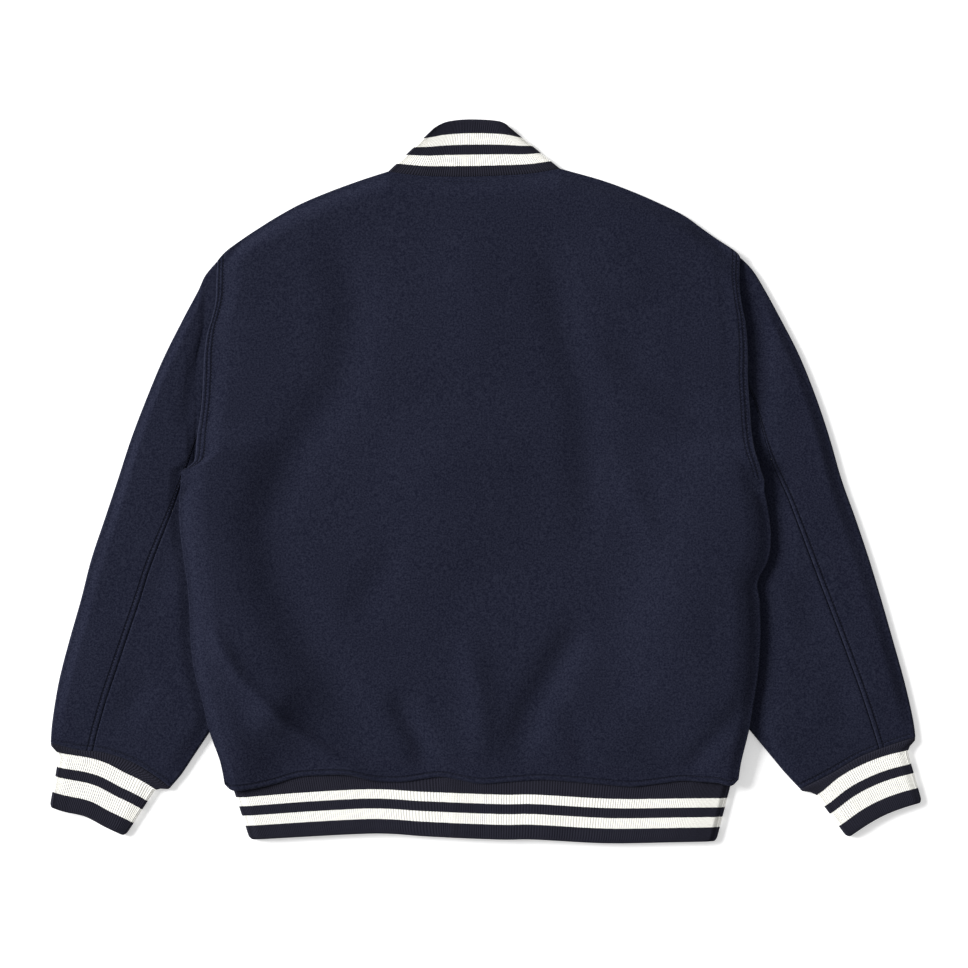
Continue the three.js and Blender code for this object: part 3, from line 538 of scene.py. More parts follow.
BACK_CREASES = (
    Crease(((-171, 285), (-138, 187), (-153, 102), (-206, 25), (-232, -46), (-220, -110),
            (-187, -177), (-142, -245), (-107, -300)),
           -4.6, 26.0, fade=0.14),
    Crease(((-295, -145), (-261, -205), (-213, -255), (-155, -298), (-107, -319)),
           5.6, 11.0, Profile.SHARP, 0.2),
    Crease(((-305, -177), (-271, -232), (-224, -285), (-195, -312)), -2.6, 15.0),
    Crease(((-49, 97), (-40, -20), (-19, -117)), 6.0, 66.0, fade=0.45),
    Crease(((-17, 309), (-10, 192), (-4, 86)), 2.4, 34.0, fade=0.4),
    Crease(((57, 285), (78, 192), (104, 86), (109, -9), (100, -94)), -3.9, 22.0, fade=0.3),
    Crease(((108, -139), (81, -185), (49, -242), (28, -306)), -5.6, 18.0, fade=0.3),
    Crease(((-102, -217), (-76, -264), (-55, -310)), -4.8, 13.0),
    Crease(((-22, -147), (-6, -232), (-3, -308)), 3.2, 15.0),
    Crease(((-87, -58), (-117, -107), (-146, -160)), -2.3, 19.0, fade=0.4),
    Crease(((117, 152), (184, 99), (252, 63)), -3.4, 17.0),
    Crease(((138, 20), (163, -28), (184, -81)), 2.6, 14.0, fade=0.4),
    Crease(((278, -228), (240, -274), (206, -312)), -3.2, 13.0),
    Crease(((206, -189), (163, -242), (121, -300)), 1.8, 24.0, fade=0.4),
    Crease(((-271, 203), (-276, 139), (-286, 86)), -1.4, 14.0, fade=0.4),
    Crease(((192, 50), (204, -50), (190, -130), (160, -205)), 4.6, 40.0, fade=0.4),
    Crease(((-205, -205), (-222, -240), (-246, -284)), 4.6, 21.0, fade=0.4),
    Crease(((121, 277), (137, 235), (174, 187)), 1.8, 26.0, fade=0.4),
    Crease(((78, -232), (100, -274), (108, -312)), -1.5, 12.0, fade=0.4),
)

SLEEVE_CREASES = (
    Crease(((-296, 150), (-306, 100), (-318, 40)), -2.6, 12.0),
    Crease(((-344, 60), (-362, 0), (-380, -70)), 2.0, 34.0, fade=0.4),
    Crease(((-330, -60), (-346, -110), (-352, -150)), -1.6, 17.0, fade=0.4),
    Crease(((-402, -120), (-412, -180), (-428, -252)), 1.6, 28.0, fade=0.4),
    Crease(((-356, -196), (-372, -232), (-392, -268)), -1.8, 16.0, fade=0.4),
    Crease(((-396, -20), (-414, -60), (-428, -96)), -1.2, 16.0, fade=0.4),
    Crease(((279, 226), (287, 160), (300, 60)), -3.2, 15.0, fade=0.3),
    Crease(((340, 90), (362, 20), (386, -70)), 1.6, 36.0, fade=0.4),
    Crease(((328, -96), (346, -140), (352, -176)), -1.8, 18.0, fade=0.4),
    Crease(((392, -130), (404, -180), (424, -258)), 1.6, 28.0, fade=0.4),
    Crease(((362, -208), (378, -240), (388, -272)), -1.5, 15.0, fade=0.4),
)


SIDE_EASE = 30.0  # width over which the back's relief starts at its sides
TOP_EASE = 24.0  # width over which it starts at shoulder and neck
TIP_WIDTH = 20.0  # width over which the shoulder tips come down
RIPPLE = 0.9  # height of the back's small waves
BACK_SEED = 0.4  # phase of those waves, which the hem rib shares
SWELL_STEPS = ((2.4, 40.0), (2.4, 130.0))  # more swell above the hem, and how far up it is reached
BASE_SWELL = 1.4  # swell at the hem, over the puff
ROUND_OFF = 0.5  # how softly a trough levels off, in square millimetres


def body_side_room(x: np.ndarray, row: np.ndarray) -> np.ndarray:
    """Distance in from the nearer side edge of the body at the same row."""
    left_x, _, right_x, _ = side_edges(row)
    return np.minimum(x - left_x, right_x - x)


def back_underside(column: np.ndarray, row: np.ndarray, x: np.ndarray, y: np.ndarray) -> np.ndarray:
    """Height of the back's underside.

    Args:
        column: fractional columns.
        row: fractional rows.
        x: x of the points.
        y: y of the points.

    Returns:
        The front's top, plus a swell with creases and ripples that eases to nothing at side, shoulder
        and neck, and is nowhere lower than the fronts and their overlap.
    """
    inside = body_side_room(x, row)
    side = np.maximum(smooth(row - UNDERARM + 2), smooth(inside / RIM_EASE))
    _, top_y = top_edge(column, False)
    top = smooth((top_y - y) / RIM_EASE)
    tip = smooth((SIDE_EASE - inside) / TIP_WIDTH)
    ease = np.minimum(side, np.maximum(top, tip))
    floor = LAYER + body_lift(x, y, BACK_LIFT_SLOPE)
    inner_ease = smooth(inside / SIDE_EASE) * smooth((top_y - y) / TOP_EASE)
    relief = creased(BACK_CREASES, x, y) * mix(0.5, 1.0, inner_ease)
    relief = relief + RIPPLE * inner_ease * ripple(x, y, BACK_SEED)
    hem_y = np.interp(x, BODY_COLUMNS[:, 2], BODY_COLUMNS[:, 3])
    base = BASE_SWELL + sum(rise * smooth((y - hem_y) / reach) for rise, reach in SWELL_STEPS)
    over_lap = np.abs(column - CENTRE - 0.5) < 2.0
    return floor + ease * soft_maximum(PUFF + inner_ease * base + relief,
                                       np.where(over_lap, LAYER, CLEARANCE), ROUND_OFF)


class Finish:
    """The node tree of one material, with short ways to add nodes."""

    def __init__(self, name: str) -> None:
        """Makes an empty material with its Principled shader."""
        self.material = bpy.data.materials.new(name)
        self.material.use_nodes = True
        self.nodes = self.material.node_tree.nodes
        self.links = self.material.node_tree.links
        self.shader = self.nodes["Principled BSDF"]

    def value(self, name: str) -> bpy.types.NodeSocket:
        """A named number of the mesh."""
        node = self.nodes.new("ShaderNodeAttribute")
        node.attribute_name = name
        return node.outputs["Fac"]

    def object_place(self) -> bpy.types.NodeSocket:
        """Place on the object, in metres."""
        return self.nodes.new("ShaderNodeTexCoord").outputs["Object"]

    def uv(self) -> tuple[bpy.types.NodeSocket, bpy.types.NodeSocket]:
        """The two UV numbers, apart."""
        split = self.nodes.new("ShaderNodeSeparateXYZ")
        self.links.new(self.nodes.new("ShaderNodeTexCoord").outputs["UV"], split.inputs[0])
        return split.outputs[0], split.outputs[1]

    def math(self, kind: str, first: object, second: object = 0.0,
             third: object = 0.0) -> bpy.types.NodeSocket:
        """A math node of the given kind, whose inputs are numbers or sockets."""
        node = self.nodes.new("ShaderNodeMath")
        node.operation = kind
        for place, given in enumerate((first, second, third)):
            if isinstance(given, bpy.types.NodeSocket):
                self.links.new(given, node.inputs[place])
            else:
                node.inputs[place].default_value = given
        return node.outputs[0]

    def noise(self, scale: float, detail: float, place: bpy.types.NodeSocket,
              rough: float = 0.5) -> bpy.types.NodeSocket:
        """Noise at a place, its scale in waves a metre."""
        node = self.nodes.new("ShaderNodeTexNoise")
        node.inputs["Scale"].default_value = scale
        node.inputs["Detail"].default_value = detail
        node.inputs["Roughness"].default_value = rough
        self.links.new(place, node.inputs["Vector"])
        return node.outputs["Fac"]

    def blend(self, share: bpy.types.NodeSocket, start: object, end: object) -> bpy.types.NodeSocket:
        """Mixes two colours by a share."""
        node = self.nodes.new("ShaderNodeMix")
        node.data_type = "RGBA"
        self.links.new(share, node.inputs["Factor"])
        for name, given in (("A", start), ("B", end)):
            socket = [s for s in node.inputs if s.name == name and s.type == "RGBA"][0]
            if isinstance(given, bpy.types.NodeSocket):
                self.links.new(given, socket)
            else:
                socket.default_value = (*given, 1.0)
        return [s for s in node.outputs if s.type == "RGBA"][0]

    def bell(self, at: bpy.types.NodeSocket, centre: float, half: float) -> bpy.types.NodeSocket:
        """1 at the centre, falling to 0 at half on both sides, by a squared parabola."""
        off = self.math("DIVIDE", self.math("SUBTRACT", at, centre), half)
        flat = self.math("MAXIMUM", self.math("SUBTRACT", 1.0, self.math("MULTIPLY", off, off)), 0.0)
        return self.math("MULTIPLY", flat, flat)

    def bump(self, height: bpy.types.NodeSocket) -> None:
        """Bumps the shader's surface by a height in metres."""
        node = self.nodes.new("ShaderNodeBump")
        node.inputs["Strength"].default_value = 1.0
        node.inputs["Distance"].default_value = 1.0
        self.links.new(height, node.inputs["Height"])
        self.links.new(node.outputs[0], self.shader.inputs["Normal"])


class Edge(Enum):
    """Stitched edges, by the mesh's attribute for the distance to them in millimetres."""

    ARMHOLE = "armhole_mm"
    SEAM = "seam_mm"


@dataclass(frozen=True)
class Press:
    """A groove or ridge that sewing presses into the cloth.

    Attributes:
        edge: the edge that it follows.
        centre: its distance from the edge in millimetres.
        half: its half width in millimetres.
        rise: its height in metres, negative for a groove.
    """

    edge: Edge
    centre: float
    half: float
    rise: float


@dataclass(frozen=True)
class Grain:
    """One size of noise in the cloth.

    Attributes:
        scale: waves a metre.
        detail: how many finer noises are added.
        rough: strength of each finer noise.
        gain: how much it lightens the colour.
        rise: how much it lifts the surface, in metres.
    """

    scale: float
    detail: float
    rough: float
    gain: float
    rise: float = 0.0


@dataclass(frozen=True)
class Melton:
    """Felted wool: a matt dark navy with a short grey nap.

    Attributes:
        name: the material's name.
        dark: linear colour of the ground.
        light: linear colour of the nap's lighter fibres.
        offset: share of the light fibres where all noise is nought.
        fibre: noise of single fibres.
        felt: noise of felted tufts.
        cloud: noise of wide soft patches.
        painted_edge_highlight: painted highlight, how much lighter the very edge is at an armhole and
            at a seam.
        painted_edge_highlight_at: distance of that highlight from the edge and its half width, in
            millimetres.
        pressed: grooves under the stitches and ridges beside them.
        sheen: how much light the nap scatters.
        sheen_tint: linear colour of that light.
    """

    name: str = "melton_wool"
    dark: tuple[float, float, float] = (0.0063, 0.0073, 0.0172)
    light: tuple[float, float, float] = (0.0205, 0.0228, 0.0402)
    offset: float = -1.22
    fibre: Grain = Grain(1500.0, 3.0, 0.65, 0.6, 0.00014)
    felt: Grain = Grain(560.0, 2.0, 0.6, 2.7, 0.00026)
    cloud: Grain = Grain(14.0, 2.0, 0.5, 0.16)
    # painted highlight: a thin lighter line along armhole and seam edges, where the cloth's edge
    # catches the light
    painted_edge_highlight: tuple[tuple[Edge, float], ...] = ((Edge.ARMHOLE, 0.5), (Edge.SEAM, 0.22))
    painted_edge_highlight_at: tuple[float, float] = (0.5, 1.9)
    pressed: tuple[Press, ...] = (
        Press(Edge.ARMHOLE, ARM_STITCHES[0], 1.5, -0.00045),
        Press(Edge.ARMHOLE, ARM_STITCHES[1], 1.5, -0.00045),
        Press(Edge.SEAM, SEAM_STITCH, 1.6, -0.0008),
        Press(Edge.SEAM, 2.6, 2.9, 0.0004),
        Press(Edge.ARMHOLE, 2.5, 2.9, 0.0003),
        Press(Edge.ARMHOLE, 8.0, 2.4, 0.0003),
    )
    sheen: float = 0.12
    sheen_tint: tuple[float, float, float] = (0.62, 0.66, 0.85)

    def make(self) -> bpy.types.Material:
        """Builds the material: fine fibre noise in colour and bump, a painted highlight along stitched
        edges, and pressed lines at stitches.
        """
        made = Finish(self.name)
        place = made.object_place()
        fibre, felt, cloud = (made.noise(grain.scale, grain.detail, place, grain.rough)
                              for grain in (self.fibre, self.felt, self.cloud))
        share = made.math("MULTIPLY_ADD", fibre, self.fibre.gain, self.offset)
        share = made.math("MULTIPLY_ADD", felt, self.felt.gain, share)
        patch = made.math("MULTIPLY_ADD", cloud, self.cloud.gain, -0.5 * self.cloud.gain)
        share = made.math("ADD", share, patch)
        distance = {edge: made.value(edge.value) for edge in Edge}
        # painted highlight: lightens the colour in a thin line along armhole and seam edges
        for edge, gain in self.painted_edge_highlight:
            share = made.math("MULTIPLY_ADD", made.bell(distance[edge], *self.painted_edge_highlight_at), gain, share)
        made.links.new(made.blend(share, self.dark, self.light), made.shader.inputs["Base Color"])
        made.shader.inputs["Roughness"].default_value = 0.96
        made.shader.inputs["Specular IOR Level"].default_value = 0.06
        made.shader.inputs["Sheen Weight"].default_value = self.sheen
        made.shader.inputs["Sheen Roughness"].default_value = 0.34
        made.shader.inputs["Sheen Tint"].default_value = (*self.sheen_tint, 1.0)
        height = made.math("MULTIPLY", fibre, self.fibre.rise)
        height = made.math("ADD", height, made.math("MULTIPLY", felt, self.felt.rise))
        for press in self.pressed:
            line = made.bell(distance[press.edge], press.centre, press.half)
            height = made.math("ADD", height, made.math("MULTIPLY", line, press.rise))
        made.bump(height)
        return made.material


@dataclass(frozen=True)
class RibKnit:
    """Fine rib knit with two off-white stripes between navy ones.

    Attributes:
        name: the material's name.
        edges: shares of the band's height at which the yarn changes colour.
        courses: knitted rows over the band's height.
        navy: linear colour of the dark yarn.
        white: linear colour of the light yarn.
        lean: how many rows a stitch's leg climbs from its rib's middle to the groove.
        jag: how deep the stitches cut into a stripe's edge, in rows.
        wobble: how far a stripe's edge strays to each side, as a share of the height.
        navy_shades: brightness of the dark yarn on a rib's crest and in the groove.
        white_shades: the same for the light yarn.
        loop_shade: shade in a stitch's middle.
        fuzz_shade: shade on a tuft of fuzz.
        groove_shade: shade in the groove between two ribs.
        base_shade: shade elsewhere.
        loop_rise: depth between two stitches in metres.
        fuzz_rise: height of the yarn's fuzz in metres.
    """

    name: str
    edges: tuple[float, float, float, float]
    courses: float
    navy: tuple[float, float, float] = (0.0135, 0.0135, 0.0215)
    white: tuple[float, float, float] = (0.93, 0.92, 0.87)
    lean: float = 1.5
    jag: float = 0.22
    wobble: float = 0.004
    navy_shades: tuple[float, float] = (1.55, 0.42)
    white_shades: tuple[float, float] = (1.0, 0.89)
    loop_shade: float = -0.34
    fuzz_shade: float = -0.5
    groove_shade: float = 0.55
    base_shade: float = 0.62
    loop_rise: float = -0.00024
    fuzz_rise: float = 0.00012

    def make(self) -> bpy.types.Material:
        """Builds the material: stripes by height, and V-shaped stitches by rib and row.

        The UV's first number counts ribs and its second is the share of the band's height. A stitch's
        leg leans away from its rib's middle, so the row's phase grows with the distance from it.
        """
        made = Finish(self.name)
        rib, height = made.uv()
        across = made.math("ABSOLUTE", made.math("SUBTRACT", made.math("FRACT", rib), 0.5))
        course = made.math("MULTIPLY_ADD", height, self.courses,
                           made.math("MULTIPLY", across, self.lean))
        wave = made.math("ABSOLUTE", made.math("SUBTRACT", made.math("FRACT", course), 0.5))
        loop = made.math("MULTIPLY", wave, 2.0)
        share = self._stripes(made, height, loop)
        fuzz = made.noise(1700.0, 2.0, made.object_place(), 0.6)
        shade = made.math("MULTIPLY_ADD", fuzz, self.fuzz_shade, self.base_shade)
        shade = made.math("MULTIPLY_ADD", loop, self.loop_shade, shade)
        shade = made.math("ADD", shade, made.math("MULTIPLY", across, self.groove_shade))
        navy, white = (
            made.blend(shade, *(tuple(brightness * c for c in yarn) for brightness in shades))
            for yarn, shades in ((self.navy, self.navy_shades), (self.white, self.white_shades))
        )
        made.links.new(made.blend(share, navy, white), made.shader.inputs["Base Color"])
        made.shader.inputs["Roughness"].default_value = 0.9
        made.shader.inputs["Specular IOR Level"].default_value = 0.08
        made.shader.inputs["Sheen Weight"].default_value = 0.02
        made.shader.inputs["Sheen Roughness"].default_value = 0.5
        bump = made.math("MULTIPLY", loop, self.loop_rise)
        made.bump(made.math("ADD", bump, made.math("MULTIPLY", fuzz, self.fuzz_rise)))
        return made.material

    def _stripes(self, made: Finish, height: bpy.types.NodeSocket,
                 loop: bpy.types.NodeSocket) -> bpy.types.NodeSocket:
        """1 in the light stripes and 0 elsewhere.

        Args:
            made: the material's nodes.
            height: share of the band's height.
            loop: 0 to 1 over each stitch, which makes the stripes' edges jagged.

        Returns:
            The sum of a test for each stripe, whose edges also stray a little by noise.
        """
        stray = made.noise(260.0, 2.0, made.object_place())
        jag = made.math("MULTIPLY", made.math("SUBTRACT", loop, 0.5), self.jag / self.courses)
        level = made.math("ADD", made.math("ADD", height, jag),
                          made.math("MULTIPLY_ADD", stray, 2.0 * self.wobble, -self.wobble))
        tests = [
            made.math("MULTIPLY", made.math("GREATER_THAN", level, start),
                      made.math("LESS_THAN", level, end))
            for start, end in (self.edges[:2], self.edges[2:])
        ]
        return made.math("ADD", *tests)


@dataclass(frozen=True)
class Thread:
    """Sewing thread, a shade darker than the cloth.

    Attributes:
        name: the material's name.
        colour: its linear colour.
    """

    name: str = "navy_thread"
    colour: tuple[float, float, float] = (0.0085, 0.0092, 0.0170)

    def make(self) -> bpy.types.Material:
        """Builds the material."""
        made = Finish(self.name)
        made.shader.inputs["Base Color"].default_value = (*self.colour, 1.0)
        made.shader.inputs["Roughness"].default_value = 0.8
        made.shader.inputs["Specular IOR Level"].default_value = 0.1
        return made.material


@dataclass(frozen=True)
class SnapMetal:
    """Dark painted metal of the snap caps.

    Attributes:
        name: the material's name.
        colour: its linear colour.
    """

    name: str = "snap_metal"
    colour: tuple[float, float, float] = (0.022, 0.024, 0.036)

    def make(self) -> bpy.types.Material:
        """Builds the material."""
        made = Finish(self.name)
        made.shader.inputs["Base Color"].default_value = (*self.colour, 1.0)
        made.shader.inputs["Metallic"].default_value = 0.7
        made.shader.inputs["Roughness"].default_value = 0.34
        return made.material


def snapped(index: np.ndarray, corners: Sequence[float]) -> np.ndarray:
    """Moves the nearest of a list of rising numbers onto each corner, so that a grid keeps it."""
    result = index.copy()
    for corner in corners:
        result[int(np.argmin(np.abs(index - corner)))] = corner
    return result


def reach_along(grid: np.ndarray, axis: int) -> np.ndarray:
    """Distance from a grid's first line, along its rows (axis 1) or columns (axis 0)."""
    steps = np.linalg.norm(np.diff(grid, axis=axis), axis=2)
    start = np.zeros((grid.shape[0], 1)) if axis == 1 else np.zeros((1, grid.shape[1]))
    return np.concatenate([start, np.cumsum(steps, axis=axis)], axis=axis)


@dataclass(frozen=True)
class Cut:
    """The flat cut of a cloth piece.

    Attributes:
        width: width in metres; not used.
        length: length in metres; not used.
        area: area in square metres.
    """

    width: float
    length: float
    area: float


@dataclass
class ClothPiece:
    """A sewn piece that stands for one solid.

    Attributes:
        node: the solid's node name.
        slot: the record's material slot; not used.
        cut: its flat cut.
        rests_on: what it lies on; not used.
    """

    node: str
    slot: str
    cut: Cut
    rests_on: tuple[str, ...] = ()

    def place(self, made: bpy.types.Object, material: bpy.types.Material,
              measured: float) -> bpy.types.Object:
        """Gives the made shell its finish and its place in the frame.

        Args:
            made: the shell.
            material: its finish.
            measured: its outer surface in square metres, for the log.

        Returns:
            The shell.
        """
        made.data.materials.append(material)
        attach(made, "root")
        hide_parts(self.node)
        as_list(self.rests_on)
        log.info("%s: %d faces, %.4f m2, cut %.4f m2",
                 made.name, len(made.data.polygons), measured, self.cut.area)
        return made


@dataclass(frozen=True)
class Allowance:
    """Extra thickness along an edge, where a seam allowance lies inside.

    Attributes:
        extra: the extra height.
        reach: distance from the edge where it ends.
        ease: width of its slope there.
    """

    extra: float
    reach: float
    ease: float

    def height(self, distance: np.ndarray) -> np.ndarray:
        """The extra height at a distance from the edge."""
        return self.extra * smooth((self.reach - distance) / self.ease)


@dataclass
class BackPanel(ClothPiece):
    """The back, swollen over the fronts and creased.

    Attributes:
        columns: cells from side to side.
        rows: cells from hem to shoulder.
        left_arm: allowance along the left armhole.
        right_arm: allowance and bulge along the right armhole.
        hem: allowance along the hem seam.
        neck: allowance along the collar seam.
        arm_fades: rows over which an armhole's allowance starts at the underarm and ends at the tip.
        neck_half: half the neck allowance's width in columns.
        tuck: how far the armhole edge dips below the sleeve's top.
        surface: the upper surface, once it is built.
    """

    columns: int = 200
    rows: int = 205
    left_arm: Allowance = Allowance(0.9, 13.0, 5.0)
    right_arm: Allowance = Allowance(5.0, 32.0, 26.0)
    hem: Allowance = Allowance(0.4, 6.4, 3.0)
    neck: Allowance = Allowance(0.4, 7.0, 4.0)
    arm_fades: tuple[float, float] = (1.2, 1.5)
    neck_half: float = 3.2
    tuck: float = 1.0
    surface: Optional[np.ndarray] = field(default=None, repr=False)

    def build(self, material: bpy.types.Material) -> bpy.types.Object:
        """Makes the shell over the outline patch, with distances from its stitched edges."""
        across = even_index(BODY_COLUMNS[:, 2], BODY_COLUMNS[:, 3], self.columns)
        up = even_index(BODY_ROWS[:, 0], BODY_ROWS[:, 1], self.rows)
        columns, rows = np.meshgrid(snapped(across, COLUMN_CORNERS), snapped(up, ROW_CORNERS))
        x, y = body_point(columns, rows, False)
        z = back_underside(columns, rows, x, y)
        self.surface = np.stack([x, y, z + WALL], axis=-1)
        # at the armhole the edge turns down to the sleeve, so that no gap shows under the lifted side
        turned = np.where(rows >= UNDERARM - SAME, body_lift(x, y) + self.tuck, 0.0)
        z[:, [0, -1]] -= turned[:, [0, -1]]
        reach = reach_along(self.surface, 1)
        armhole = np.where(rows < UNDERARM - SAME, FAR, np.minimum(reach, reach[:, -1:] - reach))
        above_hem = reach_along(self.surface, 0)
        self.surface[..., 2] += self._allowance(x, rows, columns, armhole, above_hem)
        wall = Wall(self.surface, np.stack([x, y, z], axis=-1), 1.5)
        values = {Edge.ARMHOLE.value: armhole, Edge.SEAM.value: above_hem}
        made = wall.build("cloth_back", np.stack([x, y], axis=-1) * MM, values)
        return self.place(made, material, wall.area())

    def _allowance(self, x: np.ndarray, row: np.ndarray, column: np.ndarray, armhole: np.ndarray,
                   above_hem: np.ndarray) -> np.ndarray:
        """Extra thickness along armholes, hem and neck.

        Args:
            x: x of the points.
            row: fractional rows.
            column: fractional columns.
            armhole: distance from the nearer armhole.
            above_hem: distance from the hem seam.

        Returns:
            The largest of the allowances. Those of the armholes fade at underarm and shoulder tip, and
            that of the neck at its ends.
        """
        arm = np.where(x < 0, self.left_arm.height(armhole), self.right_arm.height(armhole))
        low_fade, high_fade = self.arm_fades
        arm = arm * smooth((row - UNDERARM) / low_fade) * smooth((LAST_ROW - row) / high_fade)
        neck = self.neck.height(above_hem[-1:] - above_hem)
        neck = neck * smooth((self.neck_half - np.abs(column - CENTRE)) / 0.6)
        return np.maximum(np.maximum(arm, self.hem.height(above_hem)), neck)

    def stitch_lines(self) -> list[np.ndarray]:
        """Two rows along each armhole, one above the hem rib and a short one below the neck."""
        first = int(np.argmin(np.abs(self.surface[:, 0, 1] - BODY_ROWS[UNDERARM, 1])))
        left = self.surface[first:]
        lines = [line_inside(grid, d)[1:-2] for grid in (left, left[:, ::-1]) for d in ARM_STITCHES]
        hem = line_inside(self.surface.transpose(1, 0, 2), SEAM_STITCH)[2:-2]
        neck = line_inside(self.surface[::-1].transpose(1, 0, 2), NECK_STITCH)
        start, end = NECK_STITCH_SPAN
        return [*lines, hem, neck[(neck[:, 0] > start) & (neck[:, 0] < end)]]


FRONT_CREASES = (
    Crease(((-292, -150), (-214, -226), (-140, -288)), 2.2, 17.0, fade=0.4),
    Crease(((-262, 20), (-206, -70), (-168, -150)), 1.8, 24.0, fade=0.4),
    Crease(((-180, 210), (-140, 120), (-112, 20)), 1.6, 22.0, fade=0.4),
    Crease(((-96, -120), (-74, -200), (-66, -270)), 1.5, 15.0, fade=0.4),
    Crease(((250, -150), (186, -222), (120, -280)), 2.0, 17.0, fade=0.4),
    Crease(((232, 30), (180, -50), (150, -140)), 1.7, 24.0, fade=0.4),
    Crease(((170, 220), (130, 130), (98, 40)), 1.5, 21.0, fade=0.4),
    Crease(((74, -90), (54, -170), (50, -250)), 1.5, 16.0, fade=0.4),
)
LEAST_STEP = 0.012  # rows of a front's grid are at least this far apart, in rows of the pattern
SNAP_COUNT = 7
SNAP_TOP = 214.0  # y of the highest snap
SNAP_SPAN = 514.0  # distance from the highest snap to the lowest
SNAP_LEVELS = tuple(SNAP_TOP - SNAP_SPAN * k / (SNAP_COUNT - 1) for k in range(SNAP_COUNT))


def snap_x(y: np.ndarray) -> np.ndarray:
    """x of the row of snaps at a height: a straight line from the neckline to the hem seam."""
    middle = int(CENTRE)
    down = (NECK_DEPTH_Y - y) / (NECK_DEPTH_Y - BODY_COLUMNS[middle, 3])
    return mix(BODY_COLUMNS[middle, 0], BODY_COLUMNS[middle, 2], down)


@dataclass
class FrontPanel(ClothPiece):
    """One front, face down on the surface.

    Attributes:
        column: fractional columns of its grid.
        overlapping: True for the front whose centre lies up on the other one.
        rows: grid rows, apart from the closer ones at the snaps.
        close_rows: how many of those there are at each snap.
        close_reach: how far they go to each side of it, in rows of the pattern.
        dent_radius: radius of the dent that a snap cap sits in.
        dent_depth: depth of that dent.
        dent_slope: width of that dent's rim.
        flat: width along the edges that stays flat on the surface.
        flat_at_snaps: the same to each side of the snaps.
        ease: width over which the hollows start beside it.
        deepest: largest crease that a hollow follows, at half its height.
    """

    column: np.ndarray = field(default_factory=lambda: np.zeros(0), repr=False)
    overlapping: bool = False
    rows: int = 112
    close_rows: int = 19
    close_reach: float = 0.46
    dent_radius: float = 8.4
    dent_depth: float = 1.95
    dent_slope: float = 0.8
    flat: float = 20.0
    flat_at_snaps: float = 26.0
    ease: float = 30.0
    deepest: float = 2.4

    def build(self, material: bpy.types.Material) -> bpy.types.Object:
        """Makes the shell: flat where it rests, hollow in soft creases and dented round the snaps."""
        neck_point = NECK_RIGHT if self.overlapping else NECK_LEFT
        columns, rows = np.meshgrid(snapped(self.column, [neck_point]), self._row())
        x, y = body_point(columns, rows, True)
        z = body_lift(x, y) + self._hollow(columns, rows, x, y)
        z = z + (lap_lift(columns) if self.overlapping else 0.0)
        dent = np.zeros(x.shape) if self.overlapping else self._dent(x, y)
        outer = np.stack([x, y, z + dent], axis=-1)
        wall = Wall(outer, np.stack([x, y, z + WALL], axis=-1), 1.5)
        values = {Edge.ARMHOLE.value: np.full(x.shape, FAR), Edge.SEAM.value: reach_along(outer, 0)}
        made = wall.build("cloth_" + self.node, np.stack([x, y], axis=-1) * MM, values)
        return self.place(made, material, wall.area())

    def _row(self) -> np.ndarray:
        """Fractional rows of the grid, closer together at the snaps on the front that has them."""
        row = np.linspace(0.0, LAST_ROW, self.rows)
        if not self.overlapping:
            levels = np.linspace(0.0, LAST_ROW, 400)
            height = body_point(np.full(len(levels), CENTRE), levels, True)[1]
            close = np.linspace(-self.close_reach, self.close_reach, self.close_rows)
            near = [float(np.interp(y, height, levels)) + close for y in SNAP_LEVELS]
            row = np.unique(np.clip(np.concatenate([row, *near]), 0.0, LAST_ROW))
            row = row[np.concatenate([[True], np.diff(row) > LEAST_STEP])]
            row[-1] = LAST_ROW
        return snapped(row, ROW_CORNERS)

    def _hollow(self, column: np.ndarray, row: np.ndarray, x: np.ndarray, y: np.ndarray) -> np.ndarray:
        """How far the cloth stands clear of the surface under its creases, clear of edges and snaps."""
        _, top_y = top_edge(column, True)
        room = smooth((body_side_room(x, row) - self.flat) / self.ease)
        room = room * smooth((top_y - y - self.flat) / self.ease)
        room = room * smooth((y - BODY_ROWS[0, 1] - self.flat) / 24.0)
        away = smooth((np.abs(x - snap_x(y)) - self.flat_at_snaps) / self.ease)
        return 0.5 * np.clip(creased(FRONT_CREASES, x, y), 0.0, self.deepest) * room * away

    def _dent(self, x: np.ndarray, y: np.ndarray) -> np.ndarray:
        """Depth of the round dents that the snap caps sit in."""
        dent = np.zeros(x.shape)
        for level in SNAP_LEVELS:
            distance = np.hypot(x - snap_x(np.array(level)), y - level)
            share = smooth((self.dent_radius - distance) / self.dent_slope)
            dent = np.maximum(dent, self.dent_depth * share)
        return dent


TUBE_RADIUS = (LAYER + WALL) / 2
FOLD_SHIFT_REACH = 0.12  # share of the width over which points move in beside a fold
TANGENT_STEP = 0.03  # share of the width between the two points that give the width's way
UP = math.pi / 2
DOWN = -math.pi / 2
Plan = Callable[[np.ndarray], tuple[np.ndarray, np.ndarray]]
Puff = Callable[[np.ndarray, np.ndarray, np.ndarray], np.ndarray]


